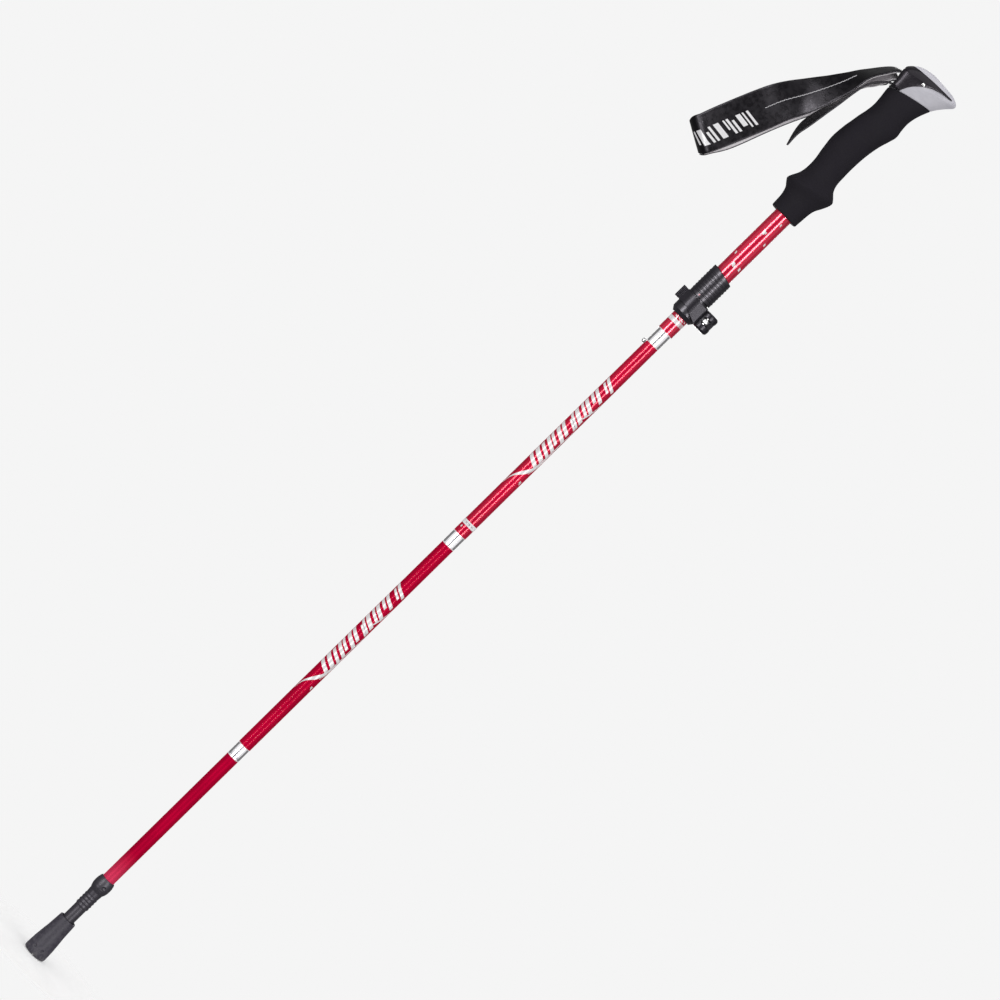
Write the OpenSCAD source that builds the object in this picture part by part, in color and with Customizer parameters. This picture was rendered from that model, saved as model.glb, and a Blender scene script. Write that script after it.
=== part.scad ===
// Folding, telescoping trekking pole. Z runs up the shaft from the centre of the rubber foot's
// sole, +X points the way the beak of the handle points, and the wrist strap hangs on -X.
// The shaft slides in the lock and folds in three places, about axes that lie along X.

/* [Shaft heights] */
// Top of the rubber foot
foot_top = 44; // [41:0.5:45]
// Top of the tip holder's collar, where the lowest tube comes out
holder_top = 95; // [94:0.5:98]
// Fold between the two lowest tubes
joint_3 = 253; // [240:0.5:260]
// Fold between the two middle tubes
joint_2 = 523.5; // [515:0.5:535]
// Fold under the telescoping tube
joint_1 = 778.5; // [775:0.5:779]
// Length of bare metal that the upper joint's ferrule shows
band_h = 15; // [12:0.5:15.5]
// Length of bare metal that the other two ferrules show
low_band_h = 13.5; // [12:0.5:15.5]
// Underside of the lock
lock_bottom = 813; // [812:0.5:814]

/* [Tube diameters] */
// Upper tube, inside the grip
upper_d = 18; // [18:0.1:18.4]
// Telescoping tube
inner_d = 16; // [15.8:0.1:16]
// Tube under the first fold
tube_3_d = 13.7; // [13.6:0.1:14]
// Tube under the second fold
tube_4_d = 13.3; // [13.2:0.1:13.6]
// Lowest tube
tube_5_d = 12.8; // [12.6:0.1:13]
// Wall of the folding tubes
tube_wall = 0.75; // [0.6:0.05:0.8]

/* [Fold joints] */
// Distance of the first fold's pivot from the shaft's axis
pivot_1 = 10.5; // [10.5:0.1:11.5]
// Distance of the other folds' pivots from the shaft's axis
pivot_2 = 8; // [8:0.1:9]
// Length of the rounded nose that centres each joint
nose_h = 7.5; // [6:0.5:7.5]
// Diameter of the elastic cord that strings the tubes together
cord_d = 2.2; // [1.8:0.1:2.4]

/* [Lock] */
// Outer diameter of the clamp ring
clamp_d = 25; // [24.6:0.1:25]
// Outer diameter of the sleeve above the clamp ring
sleeve_d = 23.6; // [23.2:0.1:24]
// Height of the sleeve's higher, rear edge
sleeve_top = 868.5; // [862:0.5:872]
// Number of ribs round the sleeve
ribs = 7; // [5:1:7]
// Distance of the lever's pin from the shaft's axis, towards the beak
pin_x = 18; // [18:0.1:18.5]
// Radius of the lever's round end
cam_r = 8.2; // [8:0.1:8.4]
// Diameter of the thumb nut
nut_d = 13.4; // [12:0.2:13.4]

/* [Grip] */
// Bottom of the foam
foam_bottom = 941; // [939:0.5:942]
// Slant of the collar and of the foam's top edge, as rise over run
slant = 0.26; // [0.22:0.01:0.3]
// Sides of the grip's cross-section
grip_sides = 36; // [24:4:48]

/* [Strap] */
// Thickness of the webbing
webbing_t = 1.6; // [1.2:0.1:1.8]
// Gap between the loop's two layers at its widest
loop_gap = 24; // [20:1:28]

/* [Hidden] */
$fn = 96;
glue = 0.02;      // gap left round a glued or pressed part
run = 0.05;       // clearance round a part that turns or slides
eps = 1;          // how far a cutting shape runs past the part it cuts

// Colours
red = "crimson";
silver = "silver";
dark = "dimgray";
black = "#232227";

// Radii that follow from the tubes
upper_r = upper_d / 2;
upper_bore = upper_r - 0.8;
inner_r = inner_d / 2;
inner_bore = inner_r - 0.8;
tube_3_bore = tube_3_d / 2 - tube_wall;
tube_4_bore = tube_4_d / 2 - tube_wall;
tube_5_bore = tube_5_d / 2 - tube_wall;

// Lock
clamp_top = lock_bottom + 23.5;
clamp_r = clamp_d / 2;
sleeve_r = sleeve_d / 2;
lock_z = lock_bottom + 12.6;
lever_z0 = lock_z - 9.7;
lever_z1 = lock_z + 8.9;
ear_y = 5.5;
cam_shift = [0.5, 0.4];
pin_y = -ear_y - cam_r - norm(cam_shift) - glue;
pin_r = 1.5;
bolt_r = 2;
eye_r = 3;
eye_h = 4.4;
slot_z0 = lock_z - 3.3;
slot_z1 = lock_z + 3.3;

// Telescoping tube
tube_top = 1086;
plug_bottom = 1074;
inner_bottom = joint_1 + band_h;
inner_top = 1046;
guide_top = inner_top + 10;

// Snap button under the first fold's ferrule
button_z = joint_1 - 2.5;
button_r = 2.35;
button_out = 10.1;
cavity_r = 4.5;
cord_x = 1.8;
cord_r = cord_d / 2;
cord_bore = 3.1;
cord_overlap = 8;

// Grip and handle head
foam_top = 1091.2;
grip_low = 936;      // below the foam's level lower end
spigot_top = 1096;
pin_half = 20;       // half length of a hole for a cross pin
strap_pin = [-8, 1099];
head_pin = [4.2, 1108.4];
cross_pin_r = 1.5;

// ---- helpers ----

module tube(r_out, r_in, z0, z1) {
    difference() {
        translate([0, 0, z0]) cylinder(r = r_out, h = z1 - z0);
        translate([0, 0, z0 - eps]) cylinder(r = r_in, h = z1 - z0 + 2 * eps);
    }
}

// A solid of revolution from an outline of [radius, height] points
module turned(outline) {
    rotate_extrude() polygon(outline);
}

module cone(r0, r1, z0, z1) {
    translate([0, 0, z0]) cylinder(r1 = r0, r2 = r1, h = z1 - z0);
}

// A cylinder along Y, at a place [x, z], between two depths
module cross_cylinder(place, r, y0, y1) {
    translate([place[0], y1, place[1]]) rotate([90, 0, 0]) cylinder(r = r, h = y1 - y0);
}

// A plate in the XZ plane, between two depths
module along_y(y0, y1) {
    translate([0, y1, 0]) rotate([90, 0, 0]) linear_extrude(y1 - y0) children();
}

module rounded_rect(x0, x1, y0, y1, r) {
    translate([x0 + r, y0]) square([x1 - x0 - 2 * r, y1 - y0]);
    translate([x0, y0 + r]) square([x1 - x0, y1 - y0 - 2 * r]);
    for (x = [x0 + r, x1 - r], y = [y0 + r, y1 - r])
        translate([x, y]) circle(r, $fn = 48);
}

// Index of the table row below t
function row(table, t, i = 0) =
    i >= len(table) - 2 || t < table[i + 1][0] ? i : row(table, t, i + 1);

// Slope of column k at row i of a table
function slope(table, i, k) =
    let (a = max(i - 1, 0), b = min(i + 1, len(table) - 1))
    (table[b][k] - table[a][k]) / (table[b][0] - table[a][0]);

// Column k of a table at t, along a smooth curve through its rows
function smooth(table, t, k) =
    let (
        i = row(table, t),
        h = table[i + 1][0] - table[i][0],
        u = (t - table[i][0]) / h
    )
    (2 * u ^ 3 - 3 * u ^ 2 + 1) * table[i][k]
    + (u ^ 3 - 2 * u ^ 2 + u) * h * slope(table, i, k)
    + (3 * u ^ 2 - 2 * u ^ 3) * table[i + 1][k]
    + (u ^ 3 - u ^ 2) * h * slope(table, i + 1, k);

// A closed solid through rings of n points each
module skin(rings) {
    n = len(rings[0]);
    last = len(rings) - 1;
    points = [for (ring = rings) each ring];
    sides = [
        for (i = [0:last - 1], k = [0:n - 1])
            let (a = i * n + k, b = i * n + (k + 1) % n)
            each [[a, a + n, b], [b, a + n, b + n]]
    ];
    ends = [[for (k = [0:n - 1]) k], [for (k = [n - 1:-1:0]) last * n + k]];
    polyhedron(points, concat(sides, ends));
}

// ---- grip and head ----

// Height along the slant, rear edge, front edge and half width of the grip and the head
GRIP = [
    [936, -14.2, 13.6, 14],
    [948, -14.8, 14.6, 14.6],
    [958, -15.4, 16.1, 15.2],
    [965, -17.3, 20, 17.5],
    [970, -20.5, 22.4, 20.3],
    [973.5, -22.3, 22.8, 21.5],
    [977, -21.2, 20.7, 20],
    [983, -18, 16.3, 17],
    [990, -16.5, 13.9, 15.3],
    [1000, -16.6, 13.2, 15],
    [1012, -18.6, 13.1, 15.4],
    [1026, -20.2, 13.8, 15.9],
    [1040, -19.4, 16.3, 16.2],
    [1049, -17.8, 19.1, 16.4],
    [1055, -16.8, 20.7, 16.5],
    [1063, -15.2, 19.7, 16.3],
    [1071, -14.4, 19.2, 16],
    [1079, -14.9, 20.5, 16],
    [1088, -16.1, 24, 16.3],
    [1094, -16.5, 27.3, 16.6],
    [1100, -16.7, 32.8, 16.8],
    [1104.5, -16.9, 38, 16.8],
    [1108, -17.2, 37.5, 16.2],
    [1111, -17.4, 34, 15.2],
    [1114, -17.2, 28.8, 13.8],
    [1116.5, -16.4, 21.3, 12],
    [1119.3, -13.2, 12.8, 9],
    [1121.4, -9, 4.8, 5],
    [1122.1, -4, -1, 1.2]
];

// How boxy the rear of the head is, from 0 to 1: cheeks stand beside the strap's slot
function boxy(t) = max(0, min((t - 1091.2) / 4, 1, (1117 - t) / 7));

// One cross-section of the grip: round or boxy at the rear, drawn out towards the beak
function grip_ring(t, grow) =
    let (
        rear = smooth(GRIP, t, 1) - grow,
        front = smooth(GRIP, t, 2) + grow,
        half = smooth(GRIP, t, 3) + grow,
        middle = min(rear + half, (rear + front) / 2),
        bend = 1 / (1 + 2 * boxy(t))
    )
    [
        for (k = [0:grip_sides - 1])
            let (
                a = 360 * k / grip_sides,
                ahead = cos(a) > 0,
                x = middle + (ahead ? cos(a) * (front - middle) : -abs(cos(a)) ^ bend * (middle - rear)),
                y = half * (ahead ? sin(a) : sign(sin(a)) * abs(sin(a)) ^ bend)
            )
            [x, y, t + slant * x]
    ];

// The grip's body between two heights along the slant, with a ring at each row and halfway between
module grip_body(bottom, top, grow = 0) {
    heights = [
        bottom,
        for (i = [1:len(GRIP) - 1], f = [0.5, 1])
            let (t = GRIP[i - 1][0] + f * (GRIP[i][0] - GRIP[i - 1][0]))
            if (t > bottom + 0.5 && t < top - 0.5) t,
        top
    ];
    skin([for (t = heights) grip_ring(t, grow)]);
}

head_top = GRIP[len(GRIP) - 1][0];
trim_depth = 1.3;
trim_proud = 0.3;

// Side view of the black trim: it wraps the rear and ends in a point under the beak
module trim_outline() {
    polygon([
        [-26, 1080], [-26, 1115], [-13.4, 1115.3], [9, 1116.8], [31, 1117.6], [32.3, 1116.8],
        [30, 1115.8], [21.1, 1114.4], [12.4, 1111.2], [5.1, 1106.6], [-1, 1100.7],
        [-4.3, 1096.1], [-6.9, 1090], [-8.5, 1082]
    ]);
}

// Rear slot that the strap goes into
module strap_slot() {
    along_y(-12.5, 12.5)
        polygon([
            [-3.8, 1102.5], [-3.8, 1095.5], [-8, 1091.5], [-14, 1089.6], [-26, 1084],
            [-26, 1114], [-18, 1109.6], [-8, 1104.5]
        ]);
}

// Holes for the head's two cross pins
module pin_holes() {
    for (place = [strap_pin, head_pin])
        cross_cylinder(place, cross_pin_r + glue, -pin_half, pin_half);
}

module head_shell() {
    color("lightgray") difference() {
        union() {
            grip_body(foam_top, head_top - trim_depth, -trim_depth);
            difference() {
                grip_body(foam_top, head_top);
                along_y(-30, 30) trim_outline();
            }
            translate([0, 0, plug_bottom])
                cylinder(r = upper_bore - glue, h = spigot_top - plug_bottom);
        }
        strap_slot();
        pin_holes();
    }
}

module head_trim() {
    color(black) difference() {
        intersection() {
            grip_body(foam_top + glue, head_top, trim_proud);
            along_y(-29, 29) trim_outline();
        }
        grip_body(foam_top - 8, head_top - trim_depth, glue - trim_depth);
        strap_slot();
        pin_holes();
    }
}

module head_pin() {
    half = 16.7;
    color(silver) cross_cylinder(head_pin, cross_pin_r, -half, half);
}

module strap_pin() {
    half = 15.4;
    color(silver) cross_cylinder(strap_pin, cross_pin_r, -half, half);
}

module foam_grip() {
    color(black) difference() {
        grip_body(grip_low, foam_top - glue);
        translate([-40, -40, foam_bottom - 50]) cube([80, 80, 50]);
        translate([0, 0, foam_bottom - eps]) cylinder(r = upper_r + glue, h = tube_top + 50 - foam_bottom);
    }
}

module upper_tube() {
    color(red) tube(upper_r, upper_bore, clamp_top + 0.6, tube_top);
}

// ---- wrist strap ----

lean = 29;               // angle of the strap to the shaft, in the XZ plane
fold_r = loop_gap / 2;
fold = [-98.7, 943];     // place of the fold at the loop's far end
fold_w = 34.5;           // width of the webbing there
loop_w = 24;             // width of the webbing in the head

// Centre, width and twist of the loop's front layer, from the head down: step, x, y, z, width, twist
FRONT = [
    [0, -8, 0, 1101.4, 24, 0],
    [1, -12.5, 0, 1103.4, 24, 0],
    [2, -17.5, 0, 1104.6, 24, 2],
    [3, -23, -0.5, 1102, 24, 8],
    [4, -29.5, -1.5, 1094, 24, 15],
    [5, -39, -4, 1079, 25, 24],
    [6, -47, -7, 1058, 28, 46],
    [7, -61, -10, 1030.5, 33, 76],
    [8, -72.7, 0.5 - fold_r, 1010, 35, 84],
    [9, -81, -fold_r, 991, 36.5, 90],
    [10, -93, -fold_r, 960, 36.5, 90],
    [11, fold[0], -fold_r, fold[1], fold_w, 90]
];

// The same for the rear layer, from the fold at the loop's end back up to the head
BACK = [
    [0, fold[0], fold_r, fold[1], fold_w, 90],
    [1, -91.8, fold_r, 959, 36.5, 90],
    [2, -79.8, fold_r, 990, 36, 90],
    [3, -70.5, fold_r - 0.5, 1010, 34, 90],
    [4, -58.5, 10.5, 1031, 30, 86],
    [5, -47, 9.5, 1052, 24, 68],
    [6, -41, 8, 1068, 22, 40],
    [7, -35, 5.5, 1079, 21, 16],
    [8, -28.5, 2.8, 1087.6, 22, 4],
    [9, -21, 1, 1093.2, 24, 0],
    [10, -14, 0, 1096, 24, 0],
    [11, -8, 0, 1096.6, 24, 0]
];

// The loose tail of the webbing
TAIL = [
    [0, -12.5, -7.4, 1092, 9, 0],
    [1, -20, -7.6, 1088, 9, 0],
    [2, -26.4, -8.8, 1081.3, 9, 0],
    [3, -31.4, -10, 1072.5, 9, 5],
    [4, -34.6, -10, 1060, 10, 12],
    [5, -37.4, -9.8, 1045, 12, 20],
    [6, -41.4, -9, 1028, 14.5, 30],
    [7, -44.2, -8.5, 1012, 14, 36],
    [8, -44.6, -8, 1000, 8, 38],
    [9, -42.4, -7.6, 986, 1.4, 38]
];

// Rows along a table, four to each step, leaving out some steps at its start or its end
function dense(table, skip = 0, drop = 0) =
    [for (t = [skip:0.25:len(table) - 1 - drop]) [for (k = [0:5]) smooth(table, t, k)]];

// Rows round the fold that joins the two layers
fold_rows = [
    for (a = [20:20:160])
        let (run_out = fold_r * sin(a))
        [0, fold[0] - run_out * sin(lean), -fold_r * cos(a), fold[1] - run_out * cos(lean), fold_w, 90]
];

function centre(r) = [r[1], r[2], r[3]];
function across(r) = r[4] / 2 * [-sin(r[5]) * cos(lean), cos(r[5]), sin(r[5]) * sin(lean)];

// A band of webbing along rows, its middle moved outwards by shift
module band(rows, thick, shift = 0) {
    last = len(rows) - 1;
    skin([
        for (i = [0:last])
            let (
                c = centre(rows[i]),
                h = across(rows[i]),
                along = centre(rows[min(i + 1, last)]) - centre(rows[max(i - 1, 0)]),
                out = cross(h, along) / norm(cross(h, along)),
                o = shift + thick / 2,
                u = shift - thick / 2
            )
            [c + h + u * out, c - h + u * out, c - h + o * out, c + h + o * out]
    ]);
}

module strap_loop() {
    eyelet_r = cross_pin_r + run + webbing_t;
    color(black) difference() {
        union() {
            band(concat(dense(FRONT), fold_rows, dense(BACK)), webbing_t);
            cross_cylinder(strap_pin, eyelet_r, -loop_w / 2, loop_w / 2);
        }
        cross_cylinder(strap_pin, cross_pin_r + run, -pin_half, pin_half);
    }
}

// Soft lining inside the loop
module strap_lining() {
    thick = 0.8;
    gap = 0.1;
    rows = concat(dense(FRONT, skip = 4), fold_rows, dense(BACK, drop = 1));
    color("gainsboro") band(rows, thick, -(webbing_t + thick) / 2 - gap);
}

module strap_tail() {
    color(black) band(dense(TAIL), webbing_t);
}

// ---- lock ----

module lock_body() {
    chamfer = 4;
    split = 1.6;
    sleeve_slope = 11;
    color(dark) difference() {
        union() {
            cone(clamp_r - 3, clamp_r, lock_bottom, lock_bottom + chamfer);
            cone(clamp_r, clamp_r, lock_bottom + chamfer, clamp_top);
            cone(sleeve_r, sleeve_r, clamp_top, sleeve_top + eps);
            for (i = [0:ribs - 1])
                translate([0, 0, clamp_top + 3.6 + 3.4 * i]) cylinder(r = sleeve_r + 0.3, h = 1.5);
            along_y(-ear_y, ear_y) rounded_rect(6, 25.5, lever_z0 + 1, lever_z1 - 1, 2.5);
        }
        // slanted top edge
        translate([0, 0, sleeve_top - 2.4]) rotate([0, sleeve_slope, 0])
            translate([-30, -30, 0]) cube([60, 60, 20]);
        // bores for the two tubes
        translate([0, 0, lock_bottom - eps]) cylinder(r = inner_r + run, h = 100);
        translate([0, 0, clamp_top + 0.4]) cylinder(r = upper_r + glue, h = 100);
        // the split that the lever closes, and the slit that frees the ring from the sleeve
        translate([0, -split / 2, lock_bottom - eps]) cube([40, split, clamp_top - lock_bottom + eps]);
        translate([-4, -30, clamp_top - 1]) cube([60, 60, 1]);
        cross_cylinder([pin_x, lock_z], bolt_r + 0.2, -20, 20);
    }
}

module lever_pin() {
    inset = 0.8;
    color(silver) translate([pin_x, pin_y, lever_z0 + inset])
        cylinder(r = pin_r, h = lever_z1 - lever_z0 - 2 * inset);
}

// Eye bolt: its eye holds the lever's pin and its far end takes the thumb nut
module tension_bolt() {
    bolt_end = ear_y + 7;
    color(silver) difference() {
        union() {
            translate([pin_x, pin_y, lock_z - eye_h / 2]) cylinder(r = eye_r, h = eye_h);
            cross_cylinder([pin_x, lock_z], bolt_r, pin_y + pin_r + 0.4, bolt_end);
        }
        translate([pin_x, pin_y, lock_z - 10]) cylinder(r = pin_r + glue, h = 20);
    }
}

// The lever's round end, turned about the pin's direction, with its top and bottom edges rounded
module cam() {
    r = 3;
    arc = [for (a = [0:15:90]) a];
    translate([pin_x + cam_shift[0], pin_y + cam_shift[1], 0])
        turned(concat(
            [[0, lever_z0]],
            [for (a = arc) [cam_r - r + r * sin(a), lever_z0 + r - r * cos(a)]],
            [for (a = arc) [cam_r - r + r * cos(a), lever_z1 - r + r * sin(a)]],
            [[0, lever_z1]]
        ));
}

// Plan of the lever's arm: a band round the clamp ring, ending in a straight finger tab
module arm_plan() {
    in_r = clamp_r + 0.5;
    out_r = in_r + 2.5;
    start = -36;
    end = -125;
    tab = 11.5;
    difference() {
        circle(out_r);
        circle(in_r);
        polygon([
            [0, 0], 40 * [cos(end), sin(end)], [-60, 0], [0, 60], [60, 0],
            40 * [cos(start), sin(start)]
        ]);
    }
    rotate(end) translate([in_r, -tab]) square([out_r - in_r, tab + glue]);
    // web between the arm and the round end
    polygon([[3, -15.2], [11.5, -18.5], [14, -12], [9.9, -9.4], [6, -12.2]]);
}

// Side view of the arm: deep beside the round end, shallow at the tab
module arm_profile() {
    polygon([
        [-20, lever_z1 + 1.6], [-20, lever_z1 - 10.8], [-4, lever_z1 - 11.4],
        [12, lever_z0 + 0.8], [16, lever_z0 + 0.8], [16, lever_z1 - 1], [2, lever_z1 + 0.2]
    ]);
}

module lock_lever() {
    slot_h = slot_z1 - slot_z0;
    half = bolt_r + 0.3;
    fan = [for (a = [-118, -60, 0, 60]) 30 * [cos(a), sin(a)]];
    color(dark) difference() {
        union() {
            cam();
            intersection() {
                translate([0, 0, lever_z0]) linear_extrude(lever_z1 - lever_z0 + 2) arm_plan();
                along_y(-40, 10) arm_profile();
            }
        }
        // room for the bolt's eye, and for its shank as the lever turns round it
        translate([pin_x, pin_y, slot_z0]) {
            cylinder(r = eye_r + 0.3, h = slot_h);
            linear_extrude(slot_h) polygon(concat([[-half, 30], [-half, 0], [-0.5, -1]], fan));
        }
        translate([pin_x, pin_y, lever_z0 - eps]) cylinder(r = pin_r + run, h = 30);
    }
}

module thumb_nut() {
    grooves = 20;
    thick = 5;
    color(dark) translate([pin_x, ear_y + thick + 0.1, lock_z]) rotate([90, 0, 0]) difference() {
        cylinder(r = nut_d / 2, h = thick);
        translate([0, 0, -eps]) cylinder(r = bolt_r + run, h = thick + 2 * eps);
        for (i = [0:grooves - 1])
            rotate(360 / grooves * i) translate([nut_d / 2 + 0.4, 0, -eps])
                cylinder(r = 0.9, h = thick + 2 * eps, $fn = 24);
    }
}

// ---- telescoping tube ----

module inner_tube() {
    color(red) tube(inner_r, inner_bore, inner_bottom, inner_top);
}

module guide_plug() {
    color(dark) difference() {
        union() {
            translate([0, 0, inner_top - 12]) cylinder(r = inner_bore - glue, h = 12);
            translate([0, 0, inner_top]) cylinder(r = upper_bore - run, h = guide_top - inner_top);
        }
        translate([0, 0, inner_top - 13]) cylinder(r = 4, h = 30);
    }
}

// A joint's metal ferrule: its shank is held in the tube above, its bare band shows, and its
// nose sits in the tube below. The nose is as wide as the swing about the pivot lets it be.
module ferrule(joint, band_r, shank_r, socket_r, pivot, band = low_band_h) {
    reach = pivot + socket_r - run;
    nose = [for (s = [nose_h:-nose_h / 8:0]) [sqrt(reach ^ 2 - s ^ 2) - pivot, joint - s]];
    shank_bottom = joint + band;
    shank_top = shank_bottom + 18;
    color(silver) difference() {
        turned(concat(
            [[0, joint - nose_h]],
            nose,
            [[band_r, joint], [band_r, shank_bottom], [shank_r, shank_bottom]],
            [[shank_r, shank_top], [0, shank_top]]
        ));
        translate([0, 0, joint - nose_h - eps]) cylinder(r = cord_bore, h = 60);
    }
}

// The first ferrule also holds the snap button
module ferrule_1() {
    color(silver) difference() {
        ferrule(joint_1, tube_3_d / 2, inner_bore - glue, tube_3_bore, pivot_1, band_h);
        translate([0, 0, button_z - 3.1]) cylinder(r = cavity_r, h = 50);
        translate([-10, 0, button_z]) rotate([0, 90, 0]) cylinder(r = button_r + run, h = 10);
    }
}

module snap_button() {
    dome = 1.9;
    color(silver) translate([0, 0, button_z]) rotate([0, -90, 0]) turned([
        [0, 2.7], [2.9, 2.7], [2.9, 3.3], [button_r, 3.3],
        for (a = [0:15:90]) [button_r * cos(a), button_out - dome + dome * sin(a)]
    ]);
}

// Leaf spring behind the snap button, standing on the ferrule's wall
module button_spring() {
    color(silver) along_y(-1.5, 1.5)
        polygon([
            [-2.68, button_z - 2], [-2.3, button_z - 2], [-2.3, button_z + 9], [-3.7, button_z + 15],
            [-3.7, button_z + 21], [-4.1, button_z + 21], [-4.1, button_z + 14.9], [-2.68, button_z + 9]
        ]);
}

// ---- folding sections ----

module tube_3() {
    half = button_r + 0.4;
    color(red) difference() {
        tube(tube_3_d / 2, tube_3_bore, joint_2 + low_band_h, joint_1);
        translate([-20, 0, button_z]) rotate([0, 90, 0]) cylinder(r = half, h = 20);
        translate([-20, -half, button_z]) cube([20, 2 * half, 10]);
    }
}

module marker_ring() {
    color("white") tube(tube_3_d / 2 + 0.25, tube_3_d / 2 + glue, joint_2 + 24, joint_2 + 28.6);
}

module ferrule_2() {
    ferrule(joint_2, tube_4_d / 2, tube_3_bore - glue, tube_4_bore, pivot_2);
}

module tube_4() {
    color(red) tube(tube_4_d / 2, tube_4_bore, joint_3 + low_band_h, joint_2);
}

module ferrule_3() {
    ferrule(joint_3, tube_5_d / 2, tube_4_bore - glue, tube_5_bore, pivot_2);
}

module tube_5() {
    color(red) tube(tube_5_d / 2, tube_5_bore, holder_top - socket_depth, joint_3);
}

// ---- elastic cord, drawn tight along the shaft's wall ----

module cord_run(z0, z1) {
    color("black") translate([cord_x, 0, z0]) cylinder(r = cord_r, h = z1 - z0, $fn = 32);
}

module knot(z) {
    color("black") translate([cord_x, 0, z]) cylinder(r = 2.6, h = knot_h, $fn = 32);
}

function cord_low(joint) = joint - nose_h - cord_overlap;
function cord_high(joint) = joint + 4;
anchor_top = 840;
anchor_bottom = 150;
anchor_h = 12;
knot_h = 4;

module cord_anchor(z, r) {
    color(dark) difference() {
        translate([0, 0, z]) cylinder(r = r, h = anchor_h);
        translate([cord_x, 0, z - eps]) cylinder(r = cord_r + glue, h = anchor_h + 2 * eps);
    }
}

module cord_anchor_top() {
    cord_anchor(anchor_top, inner_bore - glue);
}

module cord_anchor_bottom() {
    cord_anchor(anchor_bottom, tube_5_bore - glue);
}

// The stretch from the first fold up to its knot above the upper anchor
module cord_inner() {
    cord_run(cord_high(joint_1), anchor_top + anchor_h);
    knot(anchor_top + anchor_h);
}

module cord_joint_1() {
    cord_run(cord_low(joint_1), cord_high(joint_1));
}

module cord_section_3() {
    cord_run(cord_high(joint_2), cord_low(joint_1));
}

module cord_joint_2() {
    cord_run(cord_low(joint_2), cord_high(joint_2));
}

module cord_section_4() {
    cord_run(cord_high(joint_3), cord_low(joint_2));
}

module cord_joint_3() {
    cord_run(cord_low(joint_3), cord_high(joint_3));
}

// The stretch from the last fold down to its knot under the lower anchor
module cord_section_5() {
    cord_run(anchor_bottom, cord_low(joint_3));
    knot(anchor_bottom - knot_h);
}

// ---- tip ----

neck_r = 6.05;
ridge_z = 60.5;
ridge_pitch = 3.5;
socket_depth = 14;       // how far the lowest tube goes into the tip holder

module tip_holder() {
    color(dark) difference() {
        turned([
            [0, 22], [4.6, 22], [5.6, 34], [neck_r, 34.5], [neck_r, ridge_z],
            for (i = [0:3], p = [[6.35, 0], [6.75, 1.1], [6.75, 1.9], [6.35, 3]])
                [p[0], ridge_z + i * ridge_pitch + p[1]],
            [6.6, ridge_z + 15], [6.9, holder_top - 15.5], [8, holder_top - 13],
            [8.6, holder_top - 10.5], [8.8, holder_top - 7.5], [8.6, holder_top - 4.5],
            [8, holder_top - 1.6], [7.2, holder_top], [0, holder_top]
        ]);
        // socket for the tube's wall, and the tip's hole
        tube(tube_5_d / 2 + glue, tube_5_bore - glue, holder_top - socket_depth, holder_top + eps);
        translate([0, 0, 21]) cylinder(r = 2 + glue, h = 11);
        // round dimple in the collar
        rotate(21) translate([0, -7.7, holder_top - 7.5]) rotate([90, 0, 0]) cylinder(r = 2.2, h = 5);
    }
}

module carbide_tip() {
    color(silver) turned([[0, 17], [1.2, 16.2], [1.9, 16], [2, 17], [2, 31.5], [0, 31.5]]);
}

module rubber_foot() {
    color(dark) difference() {
        turned([
            [0, 0], [10.4, 0], [11.1, 0.5], [11.5, 1.5], [11.55, 4], [11.2, 12], [10.5, 20], [9.6, 28],
            [9.1, 36], [8.65, foot_top - 0.6], [8.2, foot_top], [7.4, foot_top], [7.2, foot_top - 2.2],
            [neck_r + run, foot_top - 2.6], [neck_r + run, 33.5], [5.75, 33], [5.4, 20.5],
            [2.6, 20.5], [2.6, 14], [0, 14]
        ]);
        // tread in the sole
        difference() {
            translate([0, 0, -eps]) cylinder(r = 7, h = eps + 1.5);
            translate([0, 0, -2 * eps]) cylinder(r = 5.4, h = 10);
        }
        for (a = [0:45:315])
            rotate(a) translate([6.5, -0.8, -eps]) cube([8, 1.6, eps + 1.5]);
        // shallow dimples round the base
        for (a = [22.5:45:360])
            rotate(a) translate([11, 0, 8.5]) rotate([0, 90, 0]) cylinder(r = 1.6, h = 2);
    }
}

head_shell();
head_trim();
head_pin();
strap_pin();
foam_grip();
upper_tube();
lock_body();
tension_bolt();
lever_pin();
lock_lever();
thumb_nut();
strap_loop();
strap_lining();
strap_tail();
inner_tube();
guide_plug();
ferrule_1();
button_spring();
snap_button();
cord_anchor_top();
cord_inner();
cord_joint_1();
tube_3();
marker_ring();
ferrule_2();
cord_section_3();
cord_joint_2();
tube_4();
ferrule_3();
cord_section_4();
cord_joint_3();
tube_5();
cord_section_5();
cord_anchor_bottom();
tip_holder();
carbide_tip();
rubber_foot();
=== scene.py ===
"""Looks of a folding, telescoping trekking pole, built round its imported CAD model.

Lengths are in millimetres in the row frame: +Z runs up the shaft from the rubber foot's sole, +X points
the way the head's beak points, and the wrist strap hangs on -X. MM turns them into Blender's metres.
"""

import math

import bmesh
import bpy
import numpy as np
from mathutils import Matrix, Vector


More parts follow.
